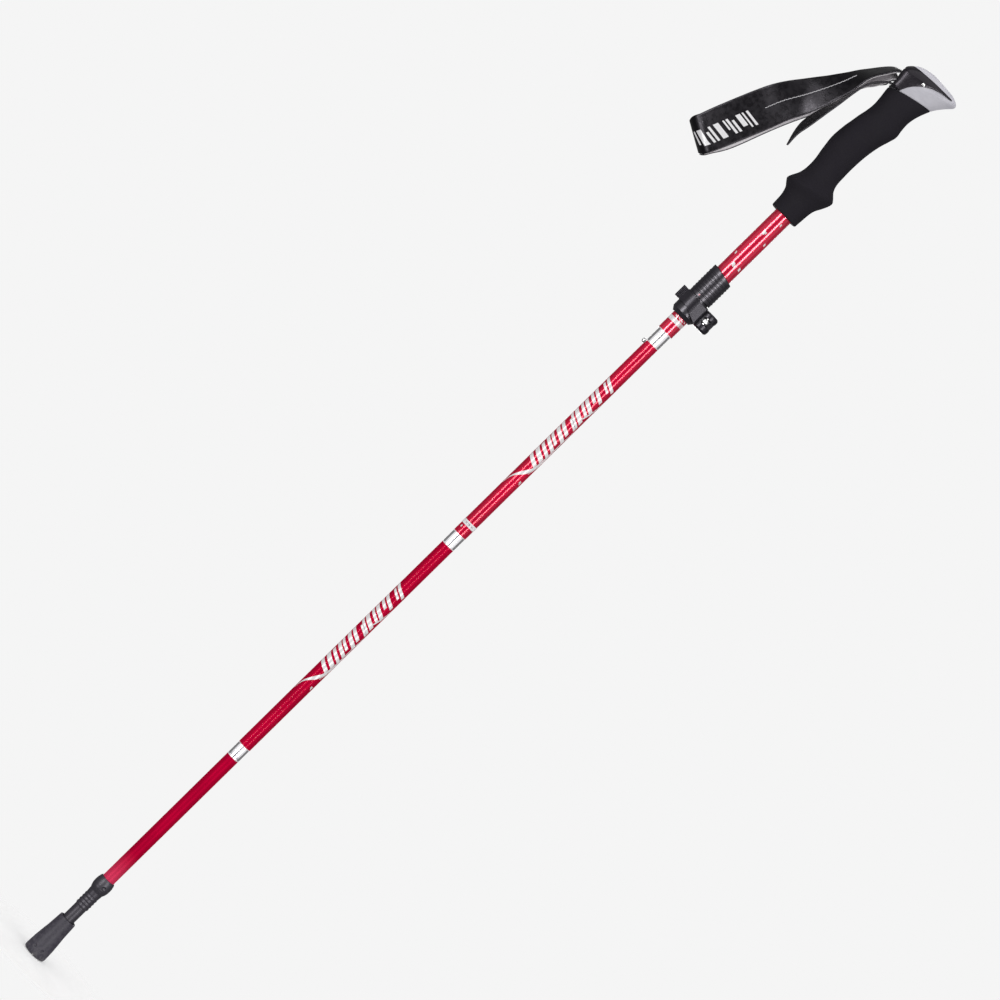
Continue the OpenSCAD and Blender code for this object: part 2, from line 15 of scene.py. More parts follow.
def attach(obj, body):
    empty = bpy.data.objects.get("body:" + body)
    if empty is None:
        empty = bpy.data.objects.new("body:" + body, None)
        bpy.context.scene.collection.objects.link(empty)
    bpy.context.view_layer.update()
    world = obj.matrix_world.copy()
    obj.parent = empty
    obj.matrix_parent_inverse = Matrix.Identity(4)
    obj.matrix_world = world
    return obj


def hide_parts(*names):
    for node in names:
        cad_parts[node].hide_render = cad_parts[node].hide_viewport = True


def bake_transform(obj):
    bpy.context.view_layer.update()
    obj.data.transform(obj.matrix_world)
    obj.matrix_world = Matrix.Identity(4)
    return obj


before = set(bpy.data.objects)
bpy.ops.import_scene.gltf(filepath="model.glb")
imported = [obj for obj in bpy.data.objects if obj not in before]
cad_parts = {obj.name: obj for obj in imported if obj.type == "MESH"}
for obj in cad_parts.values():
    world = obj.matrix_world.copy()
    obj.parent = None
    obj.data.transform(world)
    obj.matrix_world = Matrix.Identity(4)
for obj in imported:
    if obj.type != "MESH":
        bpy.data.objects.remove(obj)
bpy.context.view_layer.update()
MM = 0.001


# ---- camera and studio ----


def new_object(name, data):
    obj = bpy.data.objects.new(name, data)
    bpy.context.scene.collection.objects.link(obj)
    return obj


def add_camera():
    """The whole pole, lower left to upper right, seen from -Y and from a little above."""
    distance, tilt, lens = 3.2, math.radians(2.5), 129.2
    lean = math.radians(44.51)  # between the shaft and the picture's horizontal
    target = Vector((0.0034, 0, 0.5847))
    back = Vector((0, -math.cos(tilt), math.sin(tilt)))
    side = Vector((1, 0, 0))
    up = back.cross(side)
    right = math.cos(lean) * up + math.sin(lean) * side
    top = math.sin(lean) * up - math.cos(lean) * side
    camera = new_object("camera", bpy.data.cameras.new("camera"))
    camera.data.lens = lens
    camera.data.clip_end = 50
    facing = Matrix((right, top, back)).transposed().to_4x4()
    camera.matrix_world = Matrix.Translation(target + distance * back) @ facing
    bpy.context.scene.camera = camera


def add_panel(name, azimuth, distance, width, height, middle, strength, rise=0.0):
    """A soft light, aimed at the shaft. Azimuth 0 is where the camera stands, 90 is +X."""
    a = math.radians(azimuth)
    data = bpy.data.lights.new(name, "AREA")
    data.shape = "RECTANGLE"
    data.size, data.size_y = width, height
    data.energy = strength * width * height * math.pi
    panel = new_object(name, data)
    panel.location = (math.sin(a) * distance, -math.cos(a) * distance, middle + rise)
    towards = Vector((0, 0, middle)) - panel.location
    panel.rotation_euler = towards.to_track_quat("-Z", "Y").to_euler()
    panel.visible_camera = False
    return panel


def add_studio():
    """A pale world that lights the object less than it shows, with panels round it and a floor."""
    world = bpy.data.worlds.new("studio")
    bpy.context.scene.world = world
    world.use_nodes = True
    nodes, links = world.node_tree.nodes, world.node_tree.links
    nodes.clear()
    kinds = ("OutputWorld", "MixShader", "LightPath", "MapRange", "Background", "Background")
    out, mix, path, level, seen, light = (nodes.new("ShaderNode" + kind) for kind in kinds)
    seen.inputs["Color"].default_value = (0.913, 0.913, 0.913, 1)
    light.inputs["Color"].default_value = (1, 1, 1, 1)
    links.new(path.outputs["Is Glossy Ray"], level.inputs[0])
    level.inputs[3].default_value, level.inputs[4].default_value = 0.46, 0.22
    links.new(level.outputs[0], light.inputs["Strength"])
    links.new(path.outputs["Is Camera Ray"], mix.inputs[0])
    links.new(light.outputs[0], mix.inputs[1])
    links.new(seen.outputs[0], mix.inputs[2])
    links.new(mix.outputs[0], out.inputs[0])
    bpy.context.scene.view_settings.view_transform = "Standard"

    for side, name in ((-1, "left"), (1, "right")):
        strip = add_panel(name + "_strip", side * 32, 1.75, 0.50, 2.4, 0.80, 21.0)
        strip.visible_diffuse = False
        add_panel(name + "_panel", side * 50, 1.8, 2.9, 1.9, 0.62, 0.72)
        back = add_panel(name + "_back_panel", side * 150, 1.9, 0.6, 2.0, 0.7, 1.9)
        back.visible_glossy = False
    rear = add_panel("rear_strip", 180, 1.75, 0.34, 2.4, 0.80, 5.0)
    rear.visible_diffuse = False
    add_panel("top_panel", 0, 0.45, 2.2, 1.3, 1.0, 2.0, rise=1.7)

    mesh = bpy.data.meshes.new("floor")
    just_below = Matrix.Translation((0, 0, -0.0003))
    bm = bmesh.new()
    bmesh.ops.create_circle(bm, cap_ends=True, segments=96, radius=2.0, matrix=just_below)
    bm.to_mesh(mesh)
    bm.free()
    floor = new_object("floor", mesh)
    floor.data.materials.append(floor_material())


# ---- node materials ----


def toned(colour, factor):
    return tuple(factor * c for c in colour)


class Tree:
    """A node material being built. Values given to its methods may be numbers, colours or sockets."""

    def __init__(self, name):
        self.material = bpy.data.materials.new(name)
        self.material.use_nodes = True
        self.nodes = self.material.node_tree.nodes
        self.links = self.material.node_tree.links
        self.bsdf = self.nodes["Principled BSDF"]

    def put(self, socket, value):
        if isinstance(value, bpy.types.NodeSocket):
            self.links.new(value, socket)
        elif isinstance(value, (tuple, list)) and len(value) == 3 and socket.type == "RGBA":
            socket.default_value = (*value, 1)
        else:
            socket.default_value = value

    def add(self, kind, inputs=(), **settings):
        node = self.nodes.new("ShaderNode" + kind)
        for name, value in settings.items():
            setattr(node, name, value)
        for name, value in dict(inputs).items():
            self.put(node.inputs[name], value)
        return node

    def surface(self, **inputs):
        for name, value in inputs.items():
            self.put(self.bsdf.inputs[name.replace("_", " ")], value)
        return self.material

    def math(self, operation, a, b=0.0):
        return self.add("Math", {0: a, 1: b}, operation=operation).outputs[0]

    def times(self, a, b):
        return self.math("MULTIPLY", a, b)

    def plus(self, a, b):
        return self.math("ADD", a, b)

    def sine(self, value, factor):
        return self.math("SINE", self.times(value, factor))

    def scaled(self, *factors):
        """Object coordinates in millimetres, times one factor, or a factor along each axis."""
        source = self.add("TexCoord").outputs["Object"]
        scale = tuple(f / MM for f in (factors * 3)[:3])
        return self.add("Mapping", {"Vector": source, "Scale": scale}).outputs[0]

    def noise(self, *factors, scale=1.0, detail=3.0, roughness=0.55):
        inputs = {"Vector": self.scaled(*factors), "Scale": scale, "Detail": detail, "Roughness": roughness}
        return self.add("TexNoise", inputs).outputs[0]

    def cells(self, *factors):
        return self.add("TexVoronoi", {"Vector": self.scaled(*factors), "Scale": 1.0}).outputs["Distance"]

    def between(self, value, a, b, low=0.0, high=1.0):
        """value from a to b, carried over to low to high and held there."""
        inputs = {0: value, 1: a, 2: b, 3: low, 4: high}
        return self.add("MapRange", inputs, interpolation_type="SMOOTHSTEP").outputs[0]

    def mix(self, factor, a, b):
        return self.add("Mix", {0: factor, 6: a, 7: b}, data_type="RGBA").outputs[2]

    def bump(self, height, depth, strength=1.0, normal=None):
        """A bump of depth millimetres where height goes from 0 to 1."""
        inputs = {"Height": height, "Distance": depth * MM, "Strength": strength}
        if normal is not None:
            inputs["Normal"] = normal
        return self.add("Bump", inputs).outputs[0]

    def place(self):
        """x, y and z in millimetres."""
        return tuple(self.add("SeparateXYZ", {"Vector": self.scaled(1)}).outputs)

    def edges(self, start=0.53, end=0.62):
        """1 on sharp outer edges."""
        return self.between(self.add("NewGeometry").outputs["Pointiness"], start, end)


def floor_material():
    """Pale floor that fades out towards its rim."""
    tree = Tree("floor")
    place = tree.add("TexCoord").outputs["Object"]
    reach = tree.add("VectorMath", {0: place}, operation="LENGTH").outputs["Value"]
    fade = tree.between(reach, 0.02, 0.12)
    tree.surface(Base_Color=(0.8, 0.8, 0.8), Roughness=0.9, Specular_IOR_Level=0.1)
    clear = tree.add("BsdfTransparent")
    mix = tree.add("MixShader", {0: fade, 1: tree.bsdf.outputs[0], 2: clear.outputs[0]})
    tree.links.new(mix.outputs[0], tree.nodes["Material Output"].inputs["Surface"])
    return tree.surface(Emission_Color=(1, 1, 1), Emission_Strength=0.22)


CRIMSON = (0.52, 0.0015, 0.036)
# Painted light: the paler red of a pool of light painted near the lowest tube's foot.
PAINTED_LIGHT_PINK = (0.64, 0.040, 0.105)
BARE = (0.80, 0.72, 0.74)


def anodised(name, ends, gloss=1.0, painted_light_span=None):
    """Crimson anodised aluminium: drawn lines along the tube, faint blotches, bare metal at worn ends.

    The span of heights, if given, is painted light: a pool of light painted paler below the first height,
    fading to crimson above the second.
    """
    tree = Tree(name)
    z = tree.place()[2]
    drawn = tree.noise(9, 9, 0.05, detail=4)
    blotch = tree.noise(0.05, 0.05, 0.02, detail=4)
    specks = tree.between(tree.noise(3, detail=2), 0.74, 0.80)
    strength = 0.76 + 0.24 * gloss
    deep, bright = toned(CRIMSON, 0.9 * strength), toned(CRIMSON, 1.08 * strength)
    colour = tree.mix(tree.between(blotch, 0.35, 0.65), deep, bright)
    colour = tree.mix(tree.times(specks, 0.2), colour, (0.75, 0.25, 0.3))
    if painted_light_span:
        # Painted light: a pool of light painted paler near the lowest tube's foot.
        colour = tree.mix(tree.between(z, *painted_light_span, 1, 0), colour, PAINTED_LIGHT_PINK)
    ragged = tree.times(tree.noise(1.2, detail=4), 0.5)
    for end in ends:
        off = tree.math("ABSOLUTE", tree.math("SUBTRACT", z, end))
        worn = tree.between(tree.math("SUBTRACT", off, ragged), 0.35, 0.6, 1, 0)
        colour = tree.mix(worn, colour, BARE)
    rough = tree.between(drawn, 0.3, 0.7, 0.46 - 0.20 * gloss, 0.50 - 0.20 * gloss)
    return tree.surface(
        Base_Color=colour,
        Metallic=0.05 + 0.13 * gloss,
        Specular_IOR_Level=0.0,
        Roughness=rough,
        Coat_Weight=max(0.0, 1.3 * gloss - 0.3),
        Coat_IOR=1.34 + 0.1 * max(0.0, 2 * gloss - 1),
        Coat_Roughness=0.10,
        Normal=tree.bump(drawn, 0.0025, 0.4),
    )


def polished(name):
    """Turned and polished aluminium, with fine rings from the lathe and a few smudges."""
    tree = Tree(name)
    rings = tree.noise(0.02, 0.02, 14, detail=3)
    smudge = tree.noise(0.35, 0.35, 0.2, detail=5)
    colour = tree.mix(tree.between(smudge, 0.35, 0.7), (0.86, 0.85, 0.87), (0.74, 0.73, 0.76))
    return tree.surface(
        Base_Color=colour,
        Metallic=1.0,
        Roughness=tree.between(smudge, 0.3, 0.75, 0.15, 0.21),
        Normal=tree.bump(rings, 0.003, 0.35),
    )


def steel(name, tint=0.72, roughness=0.28):
    tree = Tree(name)
    grain = tree.noise(6, detail=4)
    stain = tree.noise(0.8, detail=4)
    colour = tree.mix(stain, (tint, tint, tint * 1.01), (0.8 * tint, 0.79 * tint, 0.78 * tint))
    return tree.surface(
        Base_Color=colour,
        Metallic=1.0,
        Roughness=tree.between(stain, 0.3, 0.7, roughness - 0.06, roughness + 0.1),
        Normal=tree.bump(grain, 0.01, 0.4),
    )


def tab_lines(tree):
    """Grip lines on the lock lever's finger tab."""
    x = tree.place()[0]
    lines = tree.between(tree.sine(x, 2 * math.pi / 1.25), -0.2, 0.7)
    return tree.times(lines, tree.between(x, -13.2, -12.6, 1, 0))


def moulded(name, colour, roughness, grain_size=0.35, grain=0.005, worn=0.35, shine=0.17, lines=None):
    """Moulded plastic: spark-eroded grain, faint flow marks, scuffed and paler along its edges.

    lines is a function of the tree that gives the height of lines moulded into it.
    """
    tree = Tree(name)
    scale = 1 / grain_size
    pits = tree.cells(scale)
    fine = tree.noise(scale, scale=2.3, detail=5)
    flow = tree.noise(0.08, 0.08, 0.16, detail=4)
    shade = tree.mix(tree.between(flow, 0.3, 0.7), toned(colour, 0.85), toned(colour, 1.14))
    scuffs = tree.times(tree.edges(), tree.between(fine, 0.35, 0.6))
    lighter = tuple(min(1, 0.05 + 1.9 * c) for c in colour)
    shade = tree.mix(tree.times(scuffs, worn), shade, lighter)
    height = tree.plus(tree.times(pits, 0.6), tree.times(fine, 0.4))
    rough = tree.between(fine, 0.3, 0.7, roughness - 0.06, roughness + 0.08)
    normal = tree.bump(height, grain, 0.8)
    if lines:
        normal = tree.bump(lines(tree), 0.35, normal=normal)
    return tree.surface(
        Base_Color=shade,
        Roughness=rough,
        Specular_IOR_Level=shine,
        Specular_Tint=(0.96, 0.92, 1.0),
        Normal=normal,
    )


def foam_material():
    """Dense black foam: fine closed cells with a little pale dust on them, and a few larger pores darkened
    with painted shade.
    """
    tree = Tree("foam")
    cells = tree.cells(2.4)
    small = tree.cells(5)
    pores = tree.between(tree.cells(0.75), 0.06, 0.14, 1, 0)
    cloud = tree.noise(0.06, detail=5)
    shade = tree.mix(tree.between(cloud, 0.3, 0.7), (0.0075, 0.0064, 0.0092), (0.0118, 0.0102, 0.0143))
    shade = tree.mix(tree.between(small, 0.1, 0.6, 0.35, 0), shade, (0.026, 0.024, 0.030))
    # Painted shade: the larger pores are darkened in colour, besides being pressed in by the bump.
    shade = tree.mix(tree.times(pores, 0.6), shade, (0.006, 0.006, 0.007))
    height = tree.plus(tree.times(cells, 0.6), tree.times(small, 0.4))
    height = tree.math("SUBTRACT", height, tree.times(pores, 0.8))
    return tree.surface(
        Base_Color=shade,
        Roughness=tree.between(cloud, 0.3, 0.7, 0.78, 0.92),
        Specular_IOR_Level=0.08,
        Specular_Tint=(0.95, 0.90, 1.0),
        Sheen_Weight=0.01,
        Sheen_Roughness=0.5,
        Sheen_Tint=(0.55, 0.53, 0.6),
        Normal=tree.bump(height, 0.09, 0.7),
    )


def rubber_material():
    """Moulded rubber, scuffed grey and dusty towards the sole."""
    tree = Tree("foot_rubber")
    z = tree.place()[2]
    fine = tree.noise(4, detail=5)
    wide = tree.noise(0.3, detail=6)
    shade = tree.mix(tree.between(wide, 0.35, 0.65), (0.039, 0.035, 0.049), (0.059, 0.053, 0.071))
    dusty = tree.times(tree.between(z, 0, 14, 0.6, 0.05), tree.between(wide, 0.42, 0.62))
    shade = tree.mix(dusty, shade, (0.11, 0.105, 0.11))
    shade = tree.mix(tree.times(tree.edges(), 0.4), shade, (0.16, 0.155, 0.165))
    return tree.surface(
        Base_Color=shade,
        Roughness=tree.between(wide, 0.3, 0.7, 0.46, 0.62),
        Specular_IOR_Level=0.14,
        Normal=tree.bump(fine, 0.05, 0.6),
    )


def woven(name, dark, pale, rib, pick, depth, roughness, sheen):
    """Cloth tape. Its UV map holds millimetres: across the tape, then along it."""
    tree = Tree(name)
    split = tree.add("SeparateXYZ", {"Vector": tree.add("UVMap", uv_map="tape").outputs[0]})
    across, along = split.outputs[0], split.outputs[1]
    edge = tree.add("Attribute", attribute_name="edge").outputs["Fac"]
    wander = tree.noise(0.25, detail=3)
    lane = tree.math("FLOOR", tree.math("DIVIDE", across, rib))
    warp = tree.math("ABSOLUTE", tree.sine(across, math.pi / rib))
    shifted = tree.plus(along, tree.times(lane, pick * 0.5))
    weft = tree.sine(shifted, 2 * math.pi / pick)
    height = tree.plus(tree.times(warp, 0.55), tree.times(weft, 0.22))
    selvedge = tree.between(edge, 1.3, 1.7, 1, 0)
    cord = tree.math("ABSOLUTE", tree.sine(along, math.pi / (0.7 * pick)))
    height = tree.plus(height, tree.times(tree.times(selvedge, cord), 0.5))
    shade = tree.mix(tree.between(height, -0.1, 0.8), dark, pale)
    shade = tree.mix(tree.between(wander, 0.35, 0.7, 0, 0.3), shade, toned(pale, 1.3))
    return tree.surface(
        Base_Color=shade,
        Roughness=tree.between(wander, 0.3, 0.7, roughness - 0.05, roughness + 0.06),
        Specular_IOR_Level=0.16,
        Specular_Tint=(0.96, 0.91, 1.0),
        Sheen_Weight=sheen,
        Sheen_Roughness=0.4,
        Normal=tree.bump(height, depth, 0.8),
    )


def knit_material():
    """Pale brushed lining inside the strap."""
    tree = Tree("lining")
    fuzz = tree.noise(3.5, detail=6)
    loops = tree.cells(1.6, 1.6, 1.1)
    shade = tree.mix(tree.between(fuzz, 0.3, 0.7), (0.70, 0.67, 0.70), (0.90, 0.87, 0.90))
    shade = tree.mix(tree.between(loops, 0.15, 0.55, 0, 0.25), shade, (0.45, 0.43, 0.45))
    height = tree.plus(fuzz, tree.times(loops, -0.5))
    return tree.surface(
        Base_Color=shade,
        Roughness=0.92,
        Sheen_Weight=0.4,
        Normal=tree.bump(height, 0.12, 0.7),
    )


def braid_material():
    """Round braided cord: strands wind both ways round it."""
    tree = Tree("cord")
    x, y, z = tree.place()
    turn = tree.math("ARCTAN2", y, tree.math("SUBTRACT", x, CORD_X))
    strands = []
    for way in (1, -1):
        phase = tree.plus(tree.times(z, 2.2), tree.times(turn, 4.0 * way))
        strands.append(tree.math("SINE", phase))
    height = tree.math("MAXIMUM", strands[0], strands[1])
    fuzz = tree.noise(8, detail=4)
    shade = tree.mix(tree.between(height, -0.3, 1), (0.008, 0.008, 0.009), (0.035, 0.034, 0.037))
    shade = tree.mix(tree.between(fuzz, 0.55, 0.75, 0, 0.5), shade, (0.09, 0.088, 0.092))
    normal = tree.bump(height, 0.12, 0.8)
    return tree.surface(Base_Color=shade, Roughness=0.85, Sheen_Weight=0.3, Normal=normal)


def ink(name, colour, chip=0.12):
    """Printed paint with a fine mottle and small chips that show the red under it."""
    tree = Tree(name)
    mottle = tree.noise(1.5, detail=6)
    chips = tree.between(tree.noise(2.6, detail=4, roughness=0.7), 0.70, 0.74)
    shade = tree.mix(tree.between(mottle, 0.35, 0.7), colour, toned(colour, 0.9))
    shade = tree.mix(tree.times(chips, chip / 0.12), shade, (0.45, 0.02, 0.05))
    return tree.surface(
        Base_Color=shade,
        Roughness=tree.between(mottle, 0.3, 0.7, 0.34, 0.48),
        Coat_Weight=0.25,
        Coat_Roughness=0.2,
        Normal=tree.bump(mottle, 0.01, 0.4),
    )


def thread_material():
    tree = Tree("thread")
    twist = tree.noise(7, detail=3)
    shade = tree.mix(twist, (0.55, 0.53, 0.56), (0.86, 0.84, 0.88))
    normal = tree.bump(twist, 0.03, 0.6)
    return tree.surface(Base_Color=shade, Roughness=0.7, Sheen_Weight=0.2, Normal=normal)


# ---- mesh helpers ----


def made(name, points, faces, sharp=40):
    """An object from points in millimetres, its faces turned outwards and smooth up to an angle."""
    mesh = bpy.data.meshes.new(name)
    mesh.from_pydata((np.asarray(points, float) * MM).tolist(), [], faces)
    bm = bmesh.new()
    bm.from_mesh(mesh)
    bmesh.ops.recalc_face_normals(bm, faces=bm.faces)
    bm.to_mesh(mesh)
    bm.free()
    smooth(mesh, sharp)
    return new_object(name, mesh)


def smooth(mesh, sharp=40):
    mesh.shade_smooth()
    mesh.set_sharp_from_angle(angle=math.radians(sharp))


def apply_modifiers(obj):
    """Swaps the object's mesh for the one its modifiers make."""
    graph = bpy.context.evaluated_depsgraph_get()
    graph.update()
    old = obj.data
    obj.data = bpy.data.meshes.new_from_object(obj.evaluated_get(graph))
    obj.modifiers.clear()
    bpy.data.meshes.remove(old)


def carve(obj, cutter, operation="DIFFERENCE"):
    """Takes a closed shape out of an object, or keeps only what is inside it."""
    modifier = obj.modifiers.new("carve", "BOOLEAN")
    modifier.operation = operation
    modifier.solver = "EXACT"
    modifier.object = cutter
    bpy.context.view_layer.update()
    apply_modifiers(obj)
    bpy.data.objects.remove(cutter)


def melted(obj, voxel, passes, sharp=180):
    """The object's surface in small even faces, with its edges rounded as a mould leaves them."""
    remesh = obj.modifiers.new("remesh", "REMESH")
    remesh.mode = "VOXEL"
    remesh.voxel_size = voxel * MM
    soft = obj.modifiers.new("soft", "SMOOTH")
    soft.factor = 0.5
    soft.iterations = passes
    bpy.context.view_layer.update()
    apply_modifiers(obj)
    smooth(obj.data, sharp)
    return obj


def copied(node, name):
    """A copy of a CAD node's mesh, with its split vertices joined again."""
    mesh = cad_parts[node].data.copy()
    mesh.materials.clear()
    bm = bmesh.new()
    bm.from_mesh(mesh)
    bmesh.ops.remove_doubles(bm, verts=bm.verts, dist=1e-7)
    bmesh.ops.recalc_face_normals(bm, faces=bm.faces)
    bm.to_mesh(mesh)
    bm.free()
    if mesh.has_custom_normals:
        mesh.normals_split_custom_set([(0, 0, 0)] * len(mesh.loops))
    return new_object(name, mesh)


def fit(obj, body, slot, material, *nodes):
    """Gives a finished piece its material and its body, and hides the CAD nodes that it stands for."""
    obj.data.materials.clear()
    obj.data.materials.append(material)
    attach(obj, body)
    if nodes:
        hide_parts(*nodes)
    return obj


def keep(node, material):
    """A CAD node that stays as it is, with a better material."""
    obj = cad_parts[node]
    obj.data.materials.clear()
    obj.data.materials.append(material)


def corner(before, point, after, radius):
    """An arc in place of an outline's corner, with a point on each side of it to keep the flats flat."""
    steps, support = 4, 0.3
    a, c = before - point, after - point
    la, lc = np.linalg.norm(a), np.linalg.norm(c)
    u, v = a / la, c / lc
    angle = math.acos(max(-1.0, min(1.0, float(u @ v))))
    if angle > math.pi - 0.06:
        return [point]
    cut = min(radius / math.tan(angle / 2), 0.42 * la, 0.42 * lc)
    middle = point + (u + v) / np.linalg.norm(u + v) * cut / math.cos(angle / 2)
    start, end = point + u * cut, point + v * cut
    sweep = math.pi - angle
    arc = []
    for i in range(steps + 1):
        f = i / steps
        swung = math.sin((1 - f) * sweep) * (start - middle) + math.sin(f * sweep) * (end - middle)
        arc.append(middle + swung / math.sin(sweep))
    first = start + u * min(support, 0.3 * (la - cut))
    last = end + v * min(support, 0.3 * (lc - cut))
    return [first, *arc, last]


def turns(sides):
    return np.arange(sides) * 2 * math.pi / sides


def circle(x, r, z, sides):
    """A ring of points round a line parallel to Z."""
    turn = turns(sides)
    return np.stack([x + r * np.cos(turn), r * np.sin(turn), np.full(sides, float(z))], axis=1)


def ring_faces(count, n, closed=False, first=0):
    """Quads between count rings of n points each."""
    faces = []
    for i in range(count if closed else count - 1):
        a, b = first + i * n, first + (i + 1) % count * n
        faces += [[a + k, a + (k + 1) % n, b + (k + 1) % n, b + k] for k in range(n)]
    return faces


def lathe(name, outline, fillet=0.15, sides=128):
    """A solid turned about Z from a closed outline of (radius, height) or (radius, height, fillet)."""
    points = [np.array(p[:2], float) for p in outline]
    profile = []
    for i, (point, row) in enumerate(zip(points, outline)):
        radius = row[2] if len(row) > 2 else fillet
        if radius <= 0 or point[0] < 1e-6:
            profile.append(point)
        else:
            profile += corner(points[i - 1], point, points[(i + 1) % len(points)], radius)
    rings, places = [], []
    for r, z in profile:
        if r < 1e-6:
            rings.append([len(places)])
            places.append((0, 0, z))
        else:
            rings.append(list(range(len(places), len(places) + sides)))
            places += [(r * math.cos(t), r * math.sin(t), z) for t in turns(sides)]
    faces = []
    for a, b in zip(rings, rings[1:] + rings[:1]):
        for k in range(sides):
            quad = [a[k % len(a)], a[(k + 1) % len(a)], b[(k + 1) % len(b)], b[k % len(b)]]
            face = list(dict.fromkeys(quad))
            if len(face) > 2:
                faces.append(face)
    return made(name, places, faces)


def moved(obj, x, y, z, degrees=0, axis="Z"):
    """Turns a piece about an axis through the origin, then moves it."""
    place = Matrix.Translation(Vector((x, y, z)) * MM)
    obj.data.transform(place @ Matrix.Rotation(math.radians(degrees), 4, axis))
    return obj


def rectangle(x0, x1, z0, z1):
    return [(x0, z0), (x1, z0), (x1, z1), (x0, z1)]


def prism(name, outline, y0, y1):
    """A plate in the XZ plane between two depths."""
    n = len(outline)
    places = [(x, y0, z) for x, z in outline] + [(x, y1, z) for x, z in outline]
    faces = [list(range(n)), list(range(2 * n - 1, n - 1, -1))]
    faces += [[i, (i + 1) % n, n + (i + 1) % n, n + i] for i in range(n)]
    return made(name, places, faces)


def skin(name, rings, sharp=60):
    """A closed solid through rings of equally many points, its ends filled from their middles."""
    count, n = len(rings), len(rings[0])
    places = [p for ring in rings for p in ring]
    faces = ring_faces(count, n)
    for i, first in ((0, 0), (count - 1, (count - 1) * n)):
        middle = len(places)
        places.append(np.mean(rings[i], axis=0))
        faces += [[first + k, first + (k + 1) % n, middle] for k in range(n)]
    return made(name, places, faces, sharp)


def sampled(table, steps):
    """A table's rows along a smooth curve through them, at the given values of its first column."""
    table = np.array(table, float)
    t = table[:, 0]
    slopes = np.empty_like(table)
    slopes[1:-1] = (table[2:] - table[:-2]) / (t[2:] - t[:-2])[:, None]
    slopes[0] = (table[1] - table[0]) / (t[1] - t[0])
    slopes[-1] = (table[-1] - table[-2]) / (t[-1] - t[-2])
    steps = np.asarray(steps, float)
    i = np.clip(np.searchsorted(t, steps, side="right") - 1, 0, len(t) - 2)
    h = (t[i + 1] - t[i])[:, None]
    u = (steps[:, None] - t[i][:, None]) / h
    rows = (
        (2 * u**3 - 3 * u**2 + 1) * table[i]
        + (u**3 - 2 * u**2 + u) * h * slopes[i]
        + (3 * u**2 - 2 * u**3) * table[i + 1]
        + (u**3 - u**2) * h * slopes[i + 1]
    )
    rows[:, 0] = steps
    return rows


# ---- grip and head ----

SLANT = 0.26
FOAM_BOTTOM, FOAM_TOP, HEAD_TOP = 941.0, 1091.2, 1122.1

# Height along the slant, rear edge, front edge and half width of the grip and the head
GRIP = [
    (936, -14.2, 13.6, 14),
    (948, -14.8, 14.6, 14.6),
    (958, -15.4, 16.1, 15.2),
    (965, -17.3, 20, 17.5),
    (970, -20.5, 22.4, 20.3),
    (973.5, -22.3, 22.8, 21.5),
    (977, -21.2, 20.7, 20),
    (983, -18, 16.3, 17),
    (990, -16.5, 13.9, 15.3),
    (1000, -16.6, 13.2, 15),
    (1012, -18.6, 13.1, 15.4),
    (1026, -20.2, 13.8, 15.9),
    (1040, -19.4, 16.3, 16.2),
    (1049, -17.8, 19.1, 16.4),
    (1055, -16.8, 20.7, 16.5),
    (1063, -15.2, 19.7, 16.3),
    (1071, -14.4, 19.2, 16),
    (1079, -14.9, 20.5, 16),
    (1088, -16.1, 24, 16.3),
    (1094, -16.5, 27.3, 16.6),
    (1100, -16.7, 32.8, 16.8),
    (1104.5, -16.9, 38, 16.8),
    (1108, -17.2, 37.5, 16.2),
    (1111, -17.4, 34, 15.2),
    (1114, -17.2, 28.8, 13.8),
    (1116.5, -16.4, 21.3, 12),
    (1119.3, -13.2, 12.8, 9),
    (1121.4, -9, 4.8, 5),
    (1122.1, -4, -1, 1.2),
]
TRIM = [
    (-26, 1080), (-26, 1115), (-13.4, 1115.3), (9, 1116.8), (31, 1117.6), (32.3, 1116.8), (30, 1115.8),
    (21.1, 1114.4), (12.4, 1111.2), (5.1, 1106.6), (-1, 1100.7), (-4.3, 1096.1), (-6.9, 1090), (-8.5, 1082),
]
SLOT = [
    (-3.8, 1102.5), (-3.8, 1095.5), (-8, 1091.5), (-14, 1089.6), (-26, 1084),
    (-26, 1114), (-18, 1109.6), (-8, 1104.5),
]


def grip_rings(heights, sides, grow, level=None, square=0.0):
    """Slanted cross-sections of the grip. grow gives a thickness from x, z and the height along the slant.

    Between the two heights of level they turn from flat to slanted. square makes the rear of the head boxy,
    with cheeks beside the strap's slot.
    """
    turn = turns(sides)
    rings = []
    for t, rear, front, half in sampled(GRIP, heights):

        def ring(g):
            middle = min(rear + half, (rear + front) / 2)
            power = 2 / (2 + square * np.interp(t, (1091, 1095, 1110, 1117), (0, 1, 1, 0)))
            ahead, aside = np.cos(turn), np.sin(turn)
            rear_x = -(np.abs(ahead) ** power) * (middle - rear + g)
            x = middle + np.where(ahead > 0, ahead * (front + g - middle), rear_x)
            across = np.where(ahead > 0, aside, np.sign(aside) * np.abs(aside) ** power)
            slope = SLANT
            if level is not None:
                u = min(1.0, max(0.0, (t - level[0]) / (level[1] - level[0])))
                slope *= u * u * (3 - 2 * u)
            return np.stack([x, (half + g) * across, t + slope * x], axis=1)

        base = ring(0.0)
        amount = grow(base[:, 0], base[:, 2], t)
        rings.append(base + amount[:, None] * (ring(1.0) - base))
    return rings


def cross_hole(place, radius):
    hole = lathe("hole", rectangle(0, radius, -25, 25), fillet=0, sides=48)
    return moved(hole, place[0], 0, place[1], 90, "X")


def dished_pin(name, r, z0, z1, dish, depth, fillet):
    """A round pin with a shallow dish in each end."""
    rim = dish + 0.25
    lower = [(0, z0 + depth), (dish, z0 + depth), (rim, z0), (r, z0)]
    upper = [(r, z1), (rim, z1), (dish, z1 - depth), (0, z1 - depth)]
    return lathe(name, lower + upper, fillet, 64)


